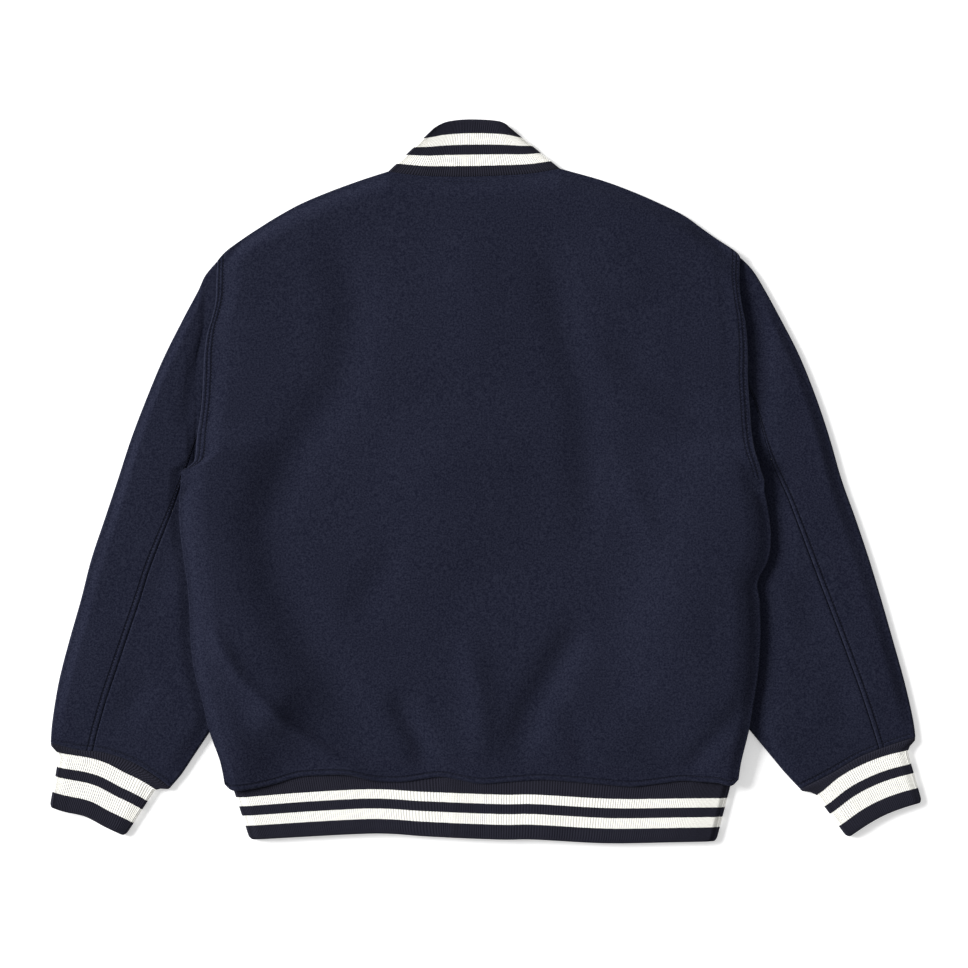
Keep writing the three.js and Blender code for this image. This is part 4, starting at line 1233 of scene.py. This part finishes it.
def tube_points(t: np.ndarray, angle: np.ndarray, fold: np.ndarray, radius: np.ndarray,
                plan: Plan, puff: Puff) -> np.ndarray:
    """Points of a flattened tube's wall.

    Args:
        t: share of the width, 0 and 1 at the two folds.
        angle: from -90 degrees on the lower layer to 90 on the upper one, in radians.
        fold: True where a point turns round a fold.
        radius: distance from the middle of the fold, for each point.
        plan: x and y at shares of the width.
        puff: the upper layer's swell at x, y and distance from the nearer fold.

    Returns:
        Points whose height is the tube's radius plus that radius times the sine of the angle. In
        plan they move in from the fold by what the round takes.
    """
    x, y = plan(t)
    x0, y0 = plan(np.maximum(0.0, t - TANGENT_STEP))
    x1, y1 = plan(np.minimum(1.0, t + TANGENT_STEP))
    length = np.hypot(x1 - x0, y1 - y0)
    near = np.maximum(0.0, 1 - t / FOLD_SHIFT_REACH) - np.maximum(0.0, 1 - (1 - t) / FOLD_SHIFT_REACH)
    shift = (TUBE_RADIUS - np.where(fold, np.cos(angle) * radius, 0.0)) * near
    px, py = x + shift * (x1 - x0) / length, y + shift * (y1 - y0) / length
    first, last = plan(np.zeros(t.shape)), plan(np.ones(t.shape))
    inside = np.minimum(t, 1 - t) * np.hypot(last[0] - first[0], last[1] - first[1])
    height = TUBE_RADIUS + radius * np.sin(angle)
    return np.stack([px, py, height + np.maximum(0.0, np.sin(angle)) * puff(px, py, inside)], axis=-1)


class Side(IntEnum):
    """The wearer's left or right side, which is also the sign of its x."""

    LEFT = -1
    RIGHT = 1

    @property
    def word(self) -> str:
        """The side in the names of pieces."""
        return self.name.lower()


class Half(Enum):
    """The two parts of a sleeve: the top part has the outer fold, the under part the inner one."""

    TOP = "top"
    UNDER = "under"


SLEEVE_ROWS = {Side.LEFT: LEFT_SLEEVE_ROWS, Side.RIGHT: RIGHT_SLEEVE_ROWS}
CUFF_ROWS = {Side.LEFT: LEFT_CUFF_ROWS, Side.RIGHT: RIGHT_CUFF_ROWS}
FREE_WIDTH = {Side.LEFT: 14.0, Side.RIGHT: 34.0}  # how far beside the body a sleeve is fully puffed
COVERED_SWELL = {Side.LEFT: 1.6, Side.RIGHT: 0.9}  # its swell where the body covers it
SLEEVE_SWELL = 3.6  # its swell beside the body, before creases and waves
SLEEVE_LEAST = 0.3  # least height of a trough there
SLEEVE_RIPPLE = 0.7  # height of its small waves
SLEEVE_RIM = 20.0  # width over which the swell starts at a fold
SHORT = 0.4  # how far the lower layer stops short of the armhole
CUFF_SHORT = 0.9  # how far both layers stop short of the cuff
UNDER_BACK = (0.087, 0.64)  # ease and end of the upper layer's run-in, as shares of the width
FRONT_SEAM_ROWS = 6.0  # rows from the shoulder tip down to the front seam's start


@dataclass
class Sleeve(ClothPiece):
    """Half of a sleeve, from its back seam round one fold to its front seam.

    Attributes:
        side: the wearer's side.
        half: the top or the under part.
        rows: cells from armhole to cuff.
        columns: cells of the upper layer, of the fold and of the lower layer.
        surface: the upper layer's outer surface, once it is built.
    """

    side: Side = Side.LEFT
    half: Half = Half.TOP
    rows: int = 190
    columns: tuple[int, int, int] = (39, 10, 25)
    surface: Optional[np.ndarray] = field(default=None, repr=False)

    def __post_init__(self) -> None:
        """Samples the armhole and sets the folds' ends on it."""
        table = SLEEVE_ROWS[self.side]
        down = np.linspace(LAST_ROW, UNDERARM + 2.0, 240)
        edges = side_edges(down)
        self.arm = np.stack(edges[:2] if self.side is Side.LEFT else edges[2:], axis=1)
        self.arm_share = shares(self.arm[:, 0], self.arm[:, 1])
        self.front_seam = float(np.interp(FRONT_SEAM_ROWS - LAST_ROW, -down, self.arm_share))
        self.seam_share = table[:, 4]
        self.outer = table[:, 0:2].copy()
        self.outer[0] = self.arm[0]
        self.inner = table[:, 2:4].copy()
        self.inner[0] = self.arm[-1]
        self.last = len(table) - 1
        self.down_share = 0.5 * (shares(*self.outer.T) + shares(*self.inner.T))

    def plan(self, t: np.ndarray, row: np.ndarray) -> tuple[np.ndarray, np.ndarray]:
        """x and y at a share of the width and a fractional row.

        Args:
            t: 0 on the outer fold and 1 on the inner one.
            row: 0 at the armhole.

        Returns:
            The straight line between the folds, bent like the armhole and, towards the cuff, like that.
        """
        s = np.interp(row, np.arange(self.last + 1), self.down_share)
        cuff = CUFF_ROWS[self.side]
        bent = []
        for k in (0, 1):
            straight = mix(curve(self.outer[:, k], row), curve(self.inner[:, k], row), t)
            arm = np.interp(t, self.arm_share, self.arm[:, k]) - mix(self.arm[0, k], self.arm[-1, k], t)
            end = curve(cuff[:, k], t * (len(cuff) - 1.0))
            end = end - mix(self.outer[-1, k], self.inner[-1, k], t)
            bent.append(straight + (1.0 - s) * arm + s * end)
        return bent[0], bent[1]

    def _puff(self, row: np.ndarray) -> Puff:
        """The upper layer's swell for points at these rows: low and even where the body covers it."""
        ease = np.clip(np.minimum(row - 1.0, self.last - row) / 2.0, 0.0, 1.0)

        def swell(x: np.ndarray, y: np.ndarray, inside: np.ndarray) -> np.ndarray:
            """Creases and ripples beside the body, blended to the covered swell beneath it."""
            level = np.interp(y, BODY_ROWS[:, 1], np.arange(len(BODY_ROWS)))
            left_x, _, right_x, _ = side_edges(level)
            outside = (left_x - x) if self.side is Side.LEFT else (x - right_x)
            free = np.where(y > BODY_ROWS[0, 1], smooth(outside / FREE_WIDTH[self.side]), 1.0)
            folded = SLEEVE_SWELL + creased(SLEEVE_CREASES, x, y)
            folded = folded + SLEEVE_RIPPLE * ripple(x, y, 1.9 + self.side)
            folded = soft_maximum(folded, SLEEVE_LEAST, 0.4)
            return ease * smooth(inside / SLEEVE_RIM) * mix(COVERED_SWELL[self.side], folded, free)

        return swell

    def _end_shift(self, t: np.ndarray, angle: np.ndarray,
                   row: np.ndarray) -> tuple[np.ndarray, np.ndarray]:
        """How far points move in x and y at the ends.

        Args:
            t: share of the width.
            angle: from -90 degrees on the lower layer to 90 on the upper one, in radians.
            row: fractional rows.

        Returns:
            The move. At the armhole the upper layer runs in under the back and the lower one stops
            short, and at the cuff both stop short.
        """
        zero = np.zeros(t.shape)
        ax, ay = self.plan(np.maximum(0.0, t - 0.02), zero)
        bx, by = self.plan(np.minimum(1.0, t + 0.02), zero)
        ease, end = UNDER_BACK
        under = np.maximum(0.0, np.sin(angle)) * smooth(t / ease) * smooth((end - t) / ease)
        move = -self.side * mix(-SHORT, LAP, under) / np.hypot(ax - bx, ay - by)
        move = move * np.clip(1.0 - row, 0.0, 1.0)
        end_move = CUFF_SHORT * np.clip(row - self.last + 1.0, 0.0, 1.0)
        return move * (ay - by), move * (bx - ax) + end_move

    def build(self, material: bpy.types.Material) -> bpy.types.Object:
        """Makes the shell from the back seam over the fold to the front seam."""
        row = even_index(self.outer[:, 0], self.outer[:, 1], self.rows)
        seam = curve(self.seam_share, row)[:, None]
        upper_cells, turn_cells, lower_cells = self.columns
        q = np.linspace(0.0, 1.0, upper_cells + 1)[:-1]
        turn = np.linspace(UP, DOWN, turn_cells + 1)
        fold_at, gap = (0.0, -0.001) if self.half is Half.TOP else (1.0, 0.001)
        upper = mix(seam + gap, fold_at, q[None, :])
        lower = np.linspace(fold_at, self.front_seam + max(gap, 0.0), lower_cells + 1)[1:]
        flat = np.concatenate([np.full(len(turn), fold_at), lower])
        t = np.concatenate([upper, np.repeat(flat[None, :], len(row), axis=0)], axis=1)
        angles = np.concatenate([np.full(len(q), UP), turn, np.full(len(lower), DOWN)])
        angle = np.repeat(angles[None, :], len(row), axis=0)
        place = np.arange(t.shape[1])
        is_fold = (place >= len(q)) & (place < len(q) + len(turn))
        fold = np.repeat(is_fold[None, :], len(row), axis=0)
        rows = np.repeat(row[:, None], t.shape[1], axis=1)
        dx, dy = self._end_shift(t, angle, rows)
        layers = []
        for radius in (TUBE_RADIUS, TUBE_RADIUS - WALL + 0.05):
            points = tube_points(t, angle, fold, np.full(t.shape, radius),
                                 lambda s: self.plan(s, rows), self._puff(rows))
            points[..., 0] += dx
            points[..., 1] += dy
            layers.append(points)
        self.surface = layers[0][:, : len(q)]
        wall = Wall(layers[0], layers[1], 1.4)
        away = np.where(angle > 0.5, 0.0, FAR)
        from_end = reach_along(layers[0][::-1], 0)[::-1]
        values = {
            Edge.ARMHOLE.value: np.where(from_end < 8.0, from_end, FAR) + away,
            Edge.SEAM.value: reach_along(layers[0], 1) + away + (0.0 if self.half is Half.TOP else FAR),
        }
        made = wall.build("cloth_" + self.node, layers[0][..., :2] * MM, values)
        return self.place(made, material, wall.area())

    def stitch_lines(self) -> list[np.ndarray]:
        """One row beside the back seam on the top part, and one above the cuff on both."""
        lines = [line_inside(self.surface[::-1].transpose(1, 0, 2), CUFF_STITCH)[2:]]
        if self.half is Half.TOP:
            lines.append(line_inside(self.surface, SEAM_STITCH)[3:-2])
        return lines


@dataclass(frozen=True)
class Stretch:
    """A stretch of a ribbed band's way round.

    Attributes:
        ribs: how many ribs it has.
        start: share of the width where it begins.
        end: share of the width where it ends.
        angle: where its layer lies: -90 degrees below, 90 above.
        turn: angle that it turns to, where it goes round a fold.
    """

    ribs: float
    start: float
    end: float
    angle: float
    turn: Optional[float] = None


def low_swell(level: float, height: float, pitch: float, seed: float) -> Puff:
    """A small even swell with ripples on it.

    Args:
        level: the swell's height.
        height: height of the ripples.
        pitch: how many times closer they are than the back's.
        seed: their phase.

    Returns:
        The swell as a function of x, y and the distance from the nearer fold.
    """
    return lambda x, y, inside: smooth(inside / RIM_EASE) * (
        level + height * ripple(x * pitch, y * pitch, seed))


FOLD_RIBS = 4.0  # ribs in the round of a fold
TUCK = 0.02  # how far a band starts under the cloth, as a share of its height


def way_round(ribs: tuple[float, float, float], start: float, first: float,
              end: float) -> tuple[Stretch, ...]:
    """A band's way round: below to one fold, above to the other one and below again.

    Args:
        ribs: how many ribs the three flat stretches have.
        start: share of the width where the way starts.
        first: share of the width of the fold that comes first, 0 or 1.
        end: share of the width where the way ends.

    Returns:
        The three flat stretches with the rounds of the two folds between them.
    """
    other = 1.0 - first
    return (
        Stretch(ribs[0], start, first, DOWN),
        Stretch(FOLD_RIBS, first, first, DOWN, UP),
        Stretch(ribs[1], first, other, UP),
        Stretch(FOLD_RIBS, other, other, UP, DOWN),
        Stretch(ribs[2], other, end, DOWN),
    )


@dataclass
class RibBand(ClothPiece):
    """A band of rib knit: its ribs run across it, from the cloth's seam to the free edge.

    Attributes:
        stretches: the way round, from one lower end to the other.
        steps: grid columns for each rib.
        rows: cells from seam to free edge.
        depth: depth of the grooves between ribs.
        even_stripes: True where stripes keep their distance from the free edge although the seam waves.
        corner: share of the width by which the free edge's rounded corners are drawn in.
        lap_ends: columns at both ends of the width, for a band whose lower ends overlap.
    """

    stretches: tuple[Stretch, ...] = ()
    steps: int = 8
    rows: int = 12
    depth: float = 0.5
    even_stripes: bool = True
    corner: float = 0.0
    lap_ends: Optional[tuple[float, float]] = None

    def rounded(self, t: np.ndarray, v: np.ndarray) -> np.ndarray:
        """The share of the width, drawn in over the last tenth of the height by a quarter circle."""
        past = np.clip((v - 0.9) / 0.1, 0.0, 1.0)
        return 0.5 + (t - 0.5) * (1.0 - self.corner * (1.0 - np.sqrt(1.0 - past**2)))

    def stations(self) -> tuple[np.ndarray, ...]:
        """Rib count, share of the width, angle and fold mark at every grid column."""
        counts, widths, angles, folds = [], [], [], []
        done = 0.0
        for stretch in self.stretches:
            cells = max(2, int(round(stretch.ribs * self.steps)))
            q = np.linspace(0.0, 1.0, cells + 1)[(1 if counts else 0):]
            counts.append(done + stretch.ribs * q)
            widths.append(mix(stretch.start, stretch.end, q))
            turn = stretch.angle if stretch.turn is None else stretch.turn
            angles.append(mix(stretch.angle, turn, q))
            folds.append(np.full(len(q), stretch.turn is not None))
            done += stretch.ribs
        return tuple(np.concatenate(given) for given in (counts, widths, angles, folds))

    def plan(self, t: np.ndarray, v: np.ndarray, angle: np.ndarray) -> tuple[np.ndarray, np.ndarray]:
        """x and y at a share of the width and of the band's height."""
        raise NotImplementedError

    def puff(self, t: np.ndarray) -> Puff:
        """The upper layer's swell."""
        raise NotImplementedError

    def lift(self, t: np.ndarray, count: np.ndarray) -> np.ndarray:
        """How far the right end of the lower layer lies up on the left one, where they overlap."""
        if self.lap_ends is None:
            return np.zeros(t.shape)
        total = sum(stretch.ribs for stretch in self.stretches)
        return np.where(count > 0.7 * total, lap_lift(mix(*self.lap_ends, t)), 0.0)

    def _groove(self, ribs: np.ndarray, v: np.ndarray) -> np.ndarray:
        """Depth below a rib's crest: a cosine of the rib count, which wanders a little with height."""
        wander = 0.10 * np.sin(ribs * 0.9 + 5.0 * v) + 0.07 * np.sin(ribs * 0.37 - 3.0 * v)
        ridge = 0.5 + 0.5 * np.cos(2.0 * math.pi * (ribs + 0.16 * wander))
        return self.depth * (1.0 - ridge) ** 1.4 * (1.0 + wander)

    def build(self, material: bpy.types.Material) -> bpy.types.Object:
        """Makes the shell; a rib's crest is round and the groove beside it narrow."""
        count, width, turned, folded = self.stations()
        even = np.linspace(0.0, 1.0, self.rows + 1)
        level = mix(-TUCK, 1.0, mix(even, 0.5 - 0.5 * np.cos(math.pi * even), 0.3))
        t, angle, fold, ribs = (np.repeat(given[None, :], len(level), axis=0)
                                for given in (width, turned, folded, count))
        v = np.repeat(level[:, None], len(width), axis=1)
        outer_radius = TUBE_RADIUS + 0.5 * np.maximum(0.0, np.sin(angle)) - self._groove(ribs, v)
        layers = []
        for radius in (outer_radius, np.full(t.shape, 0.25)):
            points = tube_points(t, angle, fold, radius,
                                 lambda s: self.plan(self.rounded(s, v), v, angle), self.puff(t))
            points[..., 2] += self.lift(t, ribs)
            layers.append(points)
        wall = Wall(layers[0], layers[1])
        stripe = v
        if self.even_stripes:
            height = np.linalg.norm(layers[0][-1] - layers[0][0], axis=-1) / (1.0 + TUCK)
            stripe = 1.0 - (1.0 - v) * height[None, :] / height[turned > 1.0].mean()
        made = wall.build("cloth_" + self.node, np.stack([ribs + 0.5, stripe], axis=-1))
        return self.place(made, material, wall.area())


@dataclass
class Cuff(RibBand):
    """A sleeve's cuff, slightly narrower than the sleeve end that it gathers.

    Attributes:
        side: the wearer's side.
        seam_ends: shares of the sleeve end's width that the cuff takes once it is drawn in.
        draw: share of the height over which it is drawn in.
    """

    side: Side = Side.LEFT
    seam_ends: tuple[float, float] = (0.12, 0.91)
    draw: float = 0.15

    def plan(self, t: np.ndarray, v: np.ndarray, angle: np.ndarray) -> tuple[np.ndarray, np.ndarray]:
        """The straight line from sleeve end to free edge, drawn in just below the seam."""
        table = CUFF_ROWS[self.side]
        last = len(table) - 1.0
        drawn = smooth(v / self.draw)
        start, end = self.seam_ends
        seam = mix(start * drawn, mix(1.0, end, drawn), t) * last
        x = mix(curve(table[:, 0], seam), curve(table[:, 2], t * last), v)
        y = mix(curve(table[:, 1], seam), curve(table[:, 3], t * last), v)
        return x, y

    def puff(self, t: np.ndarray) -> Puff:
        """A low swell with a few ripples."""
        return low_swell(1.2, 0.35, 1.6, 2.7)


HEM_ENDS = (1.0, 21.0)  # the hem seam's columns where the rib's folds are


@dataclass
class HemBand(RibBand):
    """The hem rib all round: over the back, and below on both fronts, which overlap at the closing."""

    def plan(self, t: np.ndarray, v: np.ndarray, angle: np.ndarray) -> tuple[np.ndarray, np.ndarray]:
        """The straight line from the hem seam to the free edge at the same share of the width."""
        seam_x, seam_y = hem_seam(mix(*HEM_ENDS, t))
        first, last = (hem_seam(np.array(column))[0] for column in HEM_ENDS)
        along = (seam_x - first) / (last - first)
        index = np.linspace(0.0, len(HEM_FREE_EDGE) - 1.0, 120)
        free_x, free_y = curve(HEM_FREE_EDGE[:, 0], index), curve(HEM_FREE_EDGE[:, 1], index)
        ends = HEM_FREE_EDGE[0, 0], HEM_FREE_EDGE[-1, 0]
        share = (free_x - ends[0]) / (ends[1] - ends[0])
        y = mix(seam_y - SEAM_GAP, np.interp(along, share, free_y), v)
        return mix(seam_x, mix(ends[0], ends[1], along), v), y

    def puff(self, t: np.ndarray) -> Puff:
        """The back's swell and creases, carried on over the rib."""
        middle = smooth((3.0 - np.abs(mix(*HEM_ENDS, t) - CENTRE - 0.5)) / 1.2)

        def swell(x: np.ndarray, y: np.ndarray, inside: np.ndarray) -> np.ndarray:
            """The swell, nowhere lower than the lower layer and, in the middle, its overlap."""
            waves = RIPPLE * ripple(x, y, BACK_SEED)
            height = PUFF - 0.4 + 0.5 * creased(BACK_CREASES, x, y) + waves
            least = mix(CLEARANCE, LAYER + 0.3, middle)
            return smooth(inside / RIM_EASE) * soft_maximum(height, least, ROUND_OFF)

        return swell


@dataclass
class CollarBand(RibBand):
    """The collar: its back half on the back's neckline, its two front halves on the fronts'."""

    def plan(self, t: np.ndarray, v: np.ndarray, angle: np.ndarray) -> tuple[np.ndarray, np.ndarray]:
        """The straight line from the neckline to the free edge, lower down in front."""
        front = angle < -1.5
        column = np.clip(mix(NECK_LEFT, NECK_RIGHT, t), NECK_LEFT, NECK_RIGHT)
        back_x, back_y = top_edge(column, False)
        front_x, front_y = top_edge(column, True)
        index = t * (len(COLLAR_FREE_EDGE) - 1.0)
        free_x, free_y = curve(COLLAR_FREE_EDGE[:, 0], index), curve(COLLAR_FREE_EDGE[:, 1], index)
        left_end, right_end = COLLAR_FREE_EDGE[0, 0], COLLAR_FREE_EDGE[-1, 0]
        low_x = mix(left_end, right_end, t)
        half = np.where(low_x < CENTRE_X, CENTRE_X - left_end, right_end - CENTRE_X)
        dip = np.sqrt(1.0 - np.clip(np.abs(low_x - CENTRE_X) / half, 0.0, 1.0) ** 2)
        low_y = mix(COLLAR_FREE_EDGE[0, 1], NECK_DEPTH_Y + COLLAR_FRONT_HEIGHT, dip)
        start_x = np.where(front, mix(CENTRE_X, front_x, 0.988), back_x)
        start_y = np.where(front, front_y, back_y) + SEAM_GAP
        return (mix(start_x, np.where(front, low_x, free_x), v),
                mix(start_y, np.where(front, low_y, free_y), v))

    def puff(self, t: np.ndarray) -> Puff:
        """Almost flat, with a faint ripple."""
        return low_swell(0.35, 0.3, 1.8, 1.1)


@dataclass
class Topstitch:
    """Rows of lockstitch along lines on the cloth.

    Attributes:
        name: the object's name.
        lines: the lines, each as points in millimetres.
        pitch: distance from stitch to stitch.
        length: length of a stitch that shows.
        radius: radius of the thread.
        bow: how high a stitch bows, and how deep its ends dip in.
        sides: corners of the thread's section.
        rings: places of its sections, from -1 at one end to 1 at the other.
    """

    name: str
    lines: list[np.ndarray] = field(repr=False)
    pitch: float = 3.4
    length: float = 2.9
    radius: float = 0.3
    bow: tuple[float, float] = (0.22, 0.1)
    sides: int = 6
    rings: tuple[float, ...] = (-1.0, -0.86, -0.45, 0.0, 0.45, 0.86, 1.0)

    def _stitches(self, line: np.ndarray) -> tuple[np.ndarray, np.ndarray]:
        """Middles of the stitches along a line, at an uneven pitch, and their unit ways."""
        reach = np.concatenate([[0.0], np.cumsum(np.linalg.norm(np.diff(line, axis=0), axis=1))])
        at = np.arange(self.pitch / 2, reach[-1], self.pitch)
        at = at + 0.16 * np.sin(at * 2.3) + 0.1 * np.sin(at * 5.1)
        centre, ahead, behind = (
            np.stack([np.interp(at + step, reach, line[:, k]) for k in range(3)], axis=1)
            for step in (0.0, 1.0, -1.0)
        )
        way = ahead - behind
        return centre, way / np.linalg.norm(way, axis=1, keepdims=True)

    def _quads(self) -> np.ndarray:
        """Corner numbers of one stitch's quads: the wall round it and two quads on each end."""
        sides, last = self.sides, (len(self.rings) - 1) * self.sides
        j, i = np.meshgrid(np.arange(len(self.rings) - 1), np.arange(sides), indexing="ij")
        here, following = j * sides + i, j * sides + (i + 1) % sides
        wall = np.stack([here, following, following + sides, here + sides], -1)
        ends = np.array([[0, 3, 2, 1], [0, 5, 4, 3], [last, last + 1, last + 2, last + 3],
                         [last, last + 3, last + 4, last + 5]])
        return np.concatenate([wall.reshape(-1, 4), ends])

    def build(self, material: bpy.types.Material) -> bpy.types.Object:
        """Makes every stitch a small bowed thread, thick in its middle and dipping in at both ends."""
        rings = np.array(self.rings)
        high, dip = self.bow
        along, rise = rings * self.length / 2, high * (1.0 - rings**2) - dip
        thick = self.radius * np.sqrt(np.maximum(1.0 - 0.94 * rings**4, 0.06))
        turn = np.arange(self.sides) * 2 * math.pi / self.sides
        centres, ways = zip(*(self._stitches(line) for line in self.lines))
        centre, way = np.concatenate(centres), np.concatenate(ways)
        across = np.cross(np.array([0.0, 0.0, 1.0]), way)
        across /= np.linalg.norm(across, axis=1, keepdims=True)
        up = np.cross(way, across)
        high_part = rise[:, None] + thick[:, None] * np.sin(turn)[None, :]
        side_part = thick[:, None] * np.cos(turn)[None, :]
        points = (
            centre[:, None, None, :]
            + way[:, None, None, :] * along[None, :, None, None]
            + up[:, None, None, :] * high_part[None, :, :, None]
            + across[:, None, None, :] * side_part[None, :, :, None]
        )
        quads = self._quads()
        if _volume(points[0].reshape(-1, 3), quads) < 0:
            quads = quads[:, ::-1]
        starts = self.sides * len(rings) * np.arange(len(centre))
        every = (quads[None, :, :] + starts[:, None, None]).reshape(-1, 4)
        made = make_object(self.name, points.reshape(-1, 3), every)
        made.data.materials.append(material)
        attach(made, "root")
        log.info("%s: %d stitches in %d rows", made.name, len(centre), len(self.lines))
        return made


@dataclass(frozen=True)
class Lamp:
    """A square area light that faces the middle of the floor.

    Attributes:
        name: the light's name.
        place: where it stands, in metres.
        size: side of the square in metres.
        power: watts.
    """

    name: str
    place: tuple[float, float, float]
    size: float
    power: float

    def build(self) -> None:
        """Adds the light."""
        data = bpy.data.lights.new(self.name, "AREA")
        data.size = self.size
        data.energy = self.power
        made = bpy.data.objects.new(self.name, data)
        bpy.context.scene.collection.objects.link(made)
        made.location = self.place
        made.rotation_euler = Vector(self.place).to_track_quat("Z", "Y").to_euler()


@dataclass
class Studio:
    """White paper floor, soft light from the upper left and a camera straight above.

    Attributes:
        frame_size: side of the square that the picture shows, in metres.
        centre: the middle of that square.
        lens: focal length in millimetres.
        sensor: width of the sensor in millimetres.
        sky: strength of the even light from all round.
        glow: strength of the paper's own light, as on a light table.
        reach: half the floor's side in millimetres.
        below: how far it lies below the garment, in millimetres.
        lamps: the area lights.
    """

    frame_size: float = 1.026
    centre: tuple[float, float] = (-0.002, -0.003)
    lens: float = 120.0
    sensor: float = 36.0
    sky: float = 0.36
    glow: float = 0.34
    reach: float = 4000.0
    below: float = 0.6
    lamps: tuple[Lamp, ...] = (
        Lamp("key", (-9.6, 3.6, 5.8), 5.4, 2400.0),
        Lamp("fill", (3.6, -2.4, 5.2), 4.8, 26.0),
    )

    def build(self) -> None:
        """Adds the floor, the lights, the world and the camera."""
        self._floor()
        scene = bpy.context.scene
        world = bpy.data.worlds.new("studio")
        world.use_nodes = True
        sky = world.node_tree.nodes["Background"]
        sky.inputs["Color"].default_value = (1.0, 1.0, 1.0, 1.0)
        sky.inputs["Strength"].default_value = self.sky
        scene.world = world
        scene.view_settings.view_transform = "Standard"
        for lamp in self.lamps:
            lamp.build()
        camera = bpy.data.objects.new("camera", bpy.data.cameras.new("camera"))
        scene.collection.objects.link(camera)
        camera.data.lens = self.lens
        camera.data.sensor_width = self.sensor
        camera.location = (*self.centre, self.frame_size * self.lens / self.sensor)
        camera.data.clip_end = 50.0
        scene.camera = camera

    def _floor(self) -> None:
        """Adds a sheet of white paper under the garment."""
        corners = ((-1, -1), (1, -1), (1, 1), (-1, 1))
        points = np.array([(self.reach * x, self.reach * y, -self.below) for x, y in corners])
        floor = make_object("floor", points, np.array([[0, 1, 2, 3]]), False)
        paper = Finish("paper")
        paper.shader.inputs["Base Color"].default_value = (0.93, 0.93, 0.93, 1.0)
        paper.shader.inputs["Roughness"].default_value = 0.9
        paper.shader.inputs["Specular IOR Level"].default_value = 0.1
        paper.shader.inputs["Emission Color"].default_value = (1.0, 1.0, 1.0, 1.0)
        paper.shader.inputs["Emission Strength"].default_value = self.glow
        floor.data.materials.append(paper.material)


def build_fronts(melton: bpy.types.Material) -> None:
    """Makes both fronts, whose grids are finest where they overlap at the snaps."""
    overlap_from = 9.9
    left = np.concatenate([np.linspace(0.0, overlap_from, 46)[:-1],
                           np.linspace(overlap_from, CENTRE + LAP_COLUMNS, 46)])
    right = np.linspace(CENTRE - LAP_COLUMNS, LAST_COLUMN, 100)
    FrontPanel("front_left", "melton", Cut(0.32, 0.56, 0.1650), (), column=left).build(melton)
    FrontPanel("front_right", "melton", Cut(0.34, 0.56, 0.1700), ("cloth_front_left",),
               column=right, overlapping=True).build(melton)


def build_sleeves(melton: bpy.types.Material) -> dict[str, list[np.ndarray]]:
    """Makes the sleeves with their cuffs.

    Args:
        melton: the cloth's finish.

    Returns:
        The lines of topstitching on the sleeves, by the name of their piece.
    """
    cuts = {Half.TOP: Cut(0.19, 0.60, 0.0700), Half.UNDER: Cut(0.16, 0.60, 0.0500)}
    way = way_round((22.0, 45.0, 22.0), 0.5, 1.0, 0.496)
    stitched = {}
    for side in Side:
        for half, cut in cuts.items():
            sleeve = Sleeve(f"sleeve_{half.value}_{side.word}", "melton", cut, (), side=side, half=half)
            sleeve.build(melton)
            stitched[f"topstitch_{half.value}_{side.word}"] = sleeve.stitch_lines()
        yarn = RibKnit(f"cuff_knit_{side.word}", (0.12, 0.344, 0.50, 0.75), 34.0).make()
        Cuff(f"cuff_{side.word}", "rib_knit", Cut(0.22, 0.07, 0.0140), (), stretches=way, rows=14,
             corner=0.08, side=side).build(yarn)
    return stitched


def build_hem_and_collar() -> None:
    """Makes the two bands whose ends overlap in front."""
    middle = (CENTRE - HEM_ENDS[0]) / (HEM_ENDS[1] - HEM_ENDS[0])
    lap = LAP_COLUMNS / (HEM_ENDS[1] - HEM_ENDS[0])
    yarn = RibKnit("hem_knit", (0.225, 0.387, 0.56, 0.74), 30.0).make()
    HemBand("hem_rib", "rib_knit", Cut(1.06, 0.065, 0.0620), (),
            stretches=way_round((118.0, 226.0, 117.0), middle + lap, 0.0, middle - lap),
            steps=6, corner=0.015, lap_ends=HEM_ENDS).build(yarn)
    lap = LAP_COLUMNS / (NECK_RIGHT - NECK_LEFT)
    yarn = RibKnit("collar_knit", (0.17, 0.369, 0.548, 0.748), 30.0).make()
    CollarBand("collar_rib", "rib_knit", Cut(0.47, 0.06, 0.0230), (),
               stretches=way_round((52.0, 70.0, 52.0), 0.5 + lap, 0.0, 0.5 - lap),
               even_stripes=False, lap_ends=(NECK_LEFT, NECK_RIGHT)).build(yarn)


def main() -> None:
    """Builds every piece in order: fronts, sleeves, back, ribs, snaps, stitches, then the studio."""
    melton, thread, metal = Melton().make(), Thread().make(), SnapMetal().make()
    build_fronts(melton)
    stitched = build_sleeves(melton)
    back = BackPanel("back_panel", "melton", Cut(0.62, 0.66, 0.3700),
                     ("cloth_front_left", "cloth_front_right"))
    back.build(melton)
    stitched["topstitch_back"] = back.stitch_lines()
    build_hem_and_collar()
    for number in range(1, SNAP_COUNT + 1):
        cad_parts[f"snap_{number}"].data.materials[0] = metal
    log.info("snap_1 to snap_%d keep their solids", SNAP_COUNT)
    for name, lines in stitched.items():
        Topstitch(name, lines).build(thread)
    Studio().build()


if __name__ == "__main__":
    logging.basicConfig(level=logging.INFO, format="%(message)s")
    main()
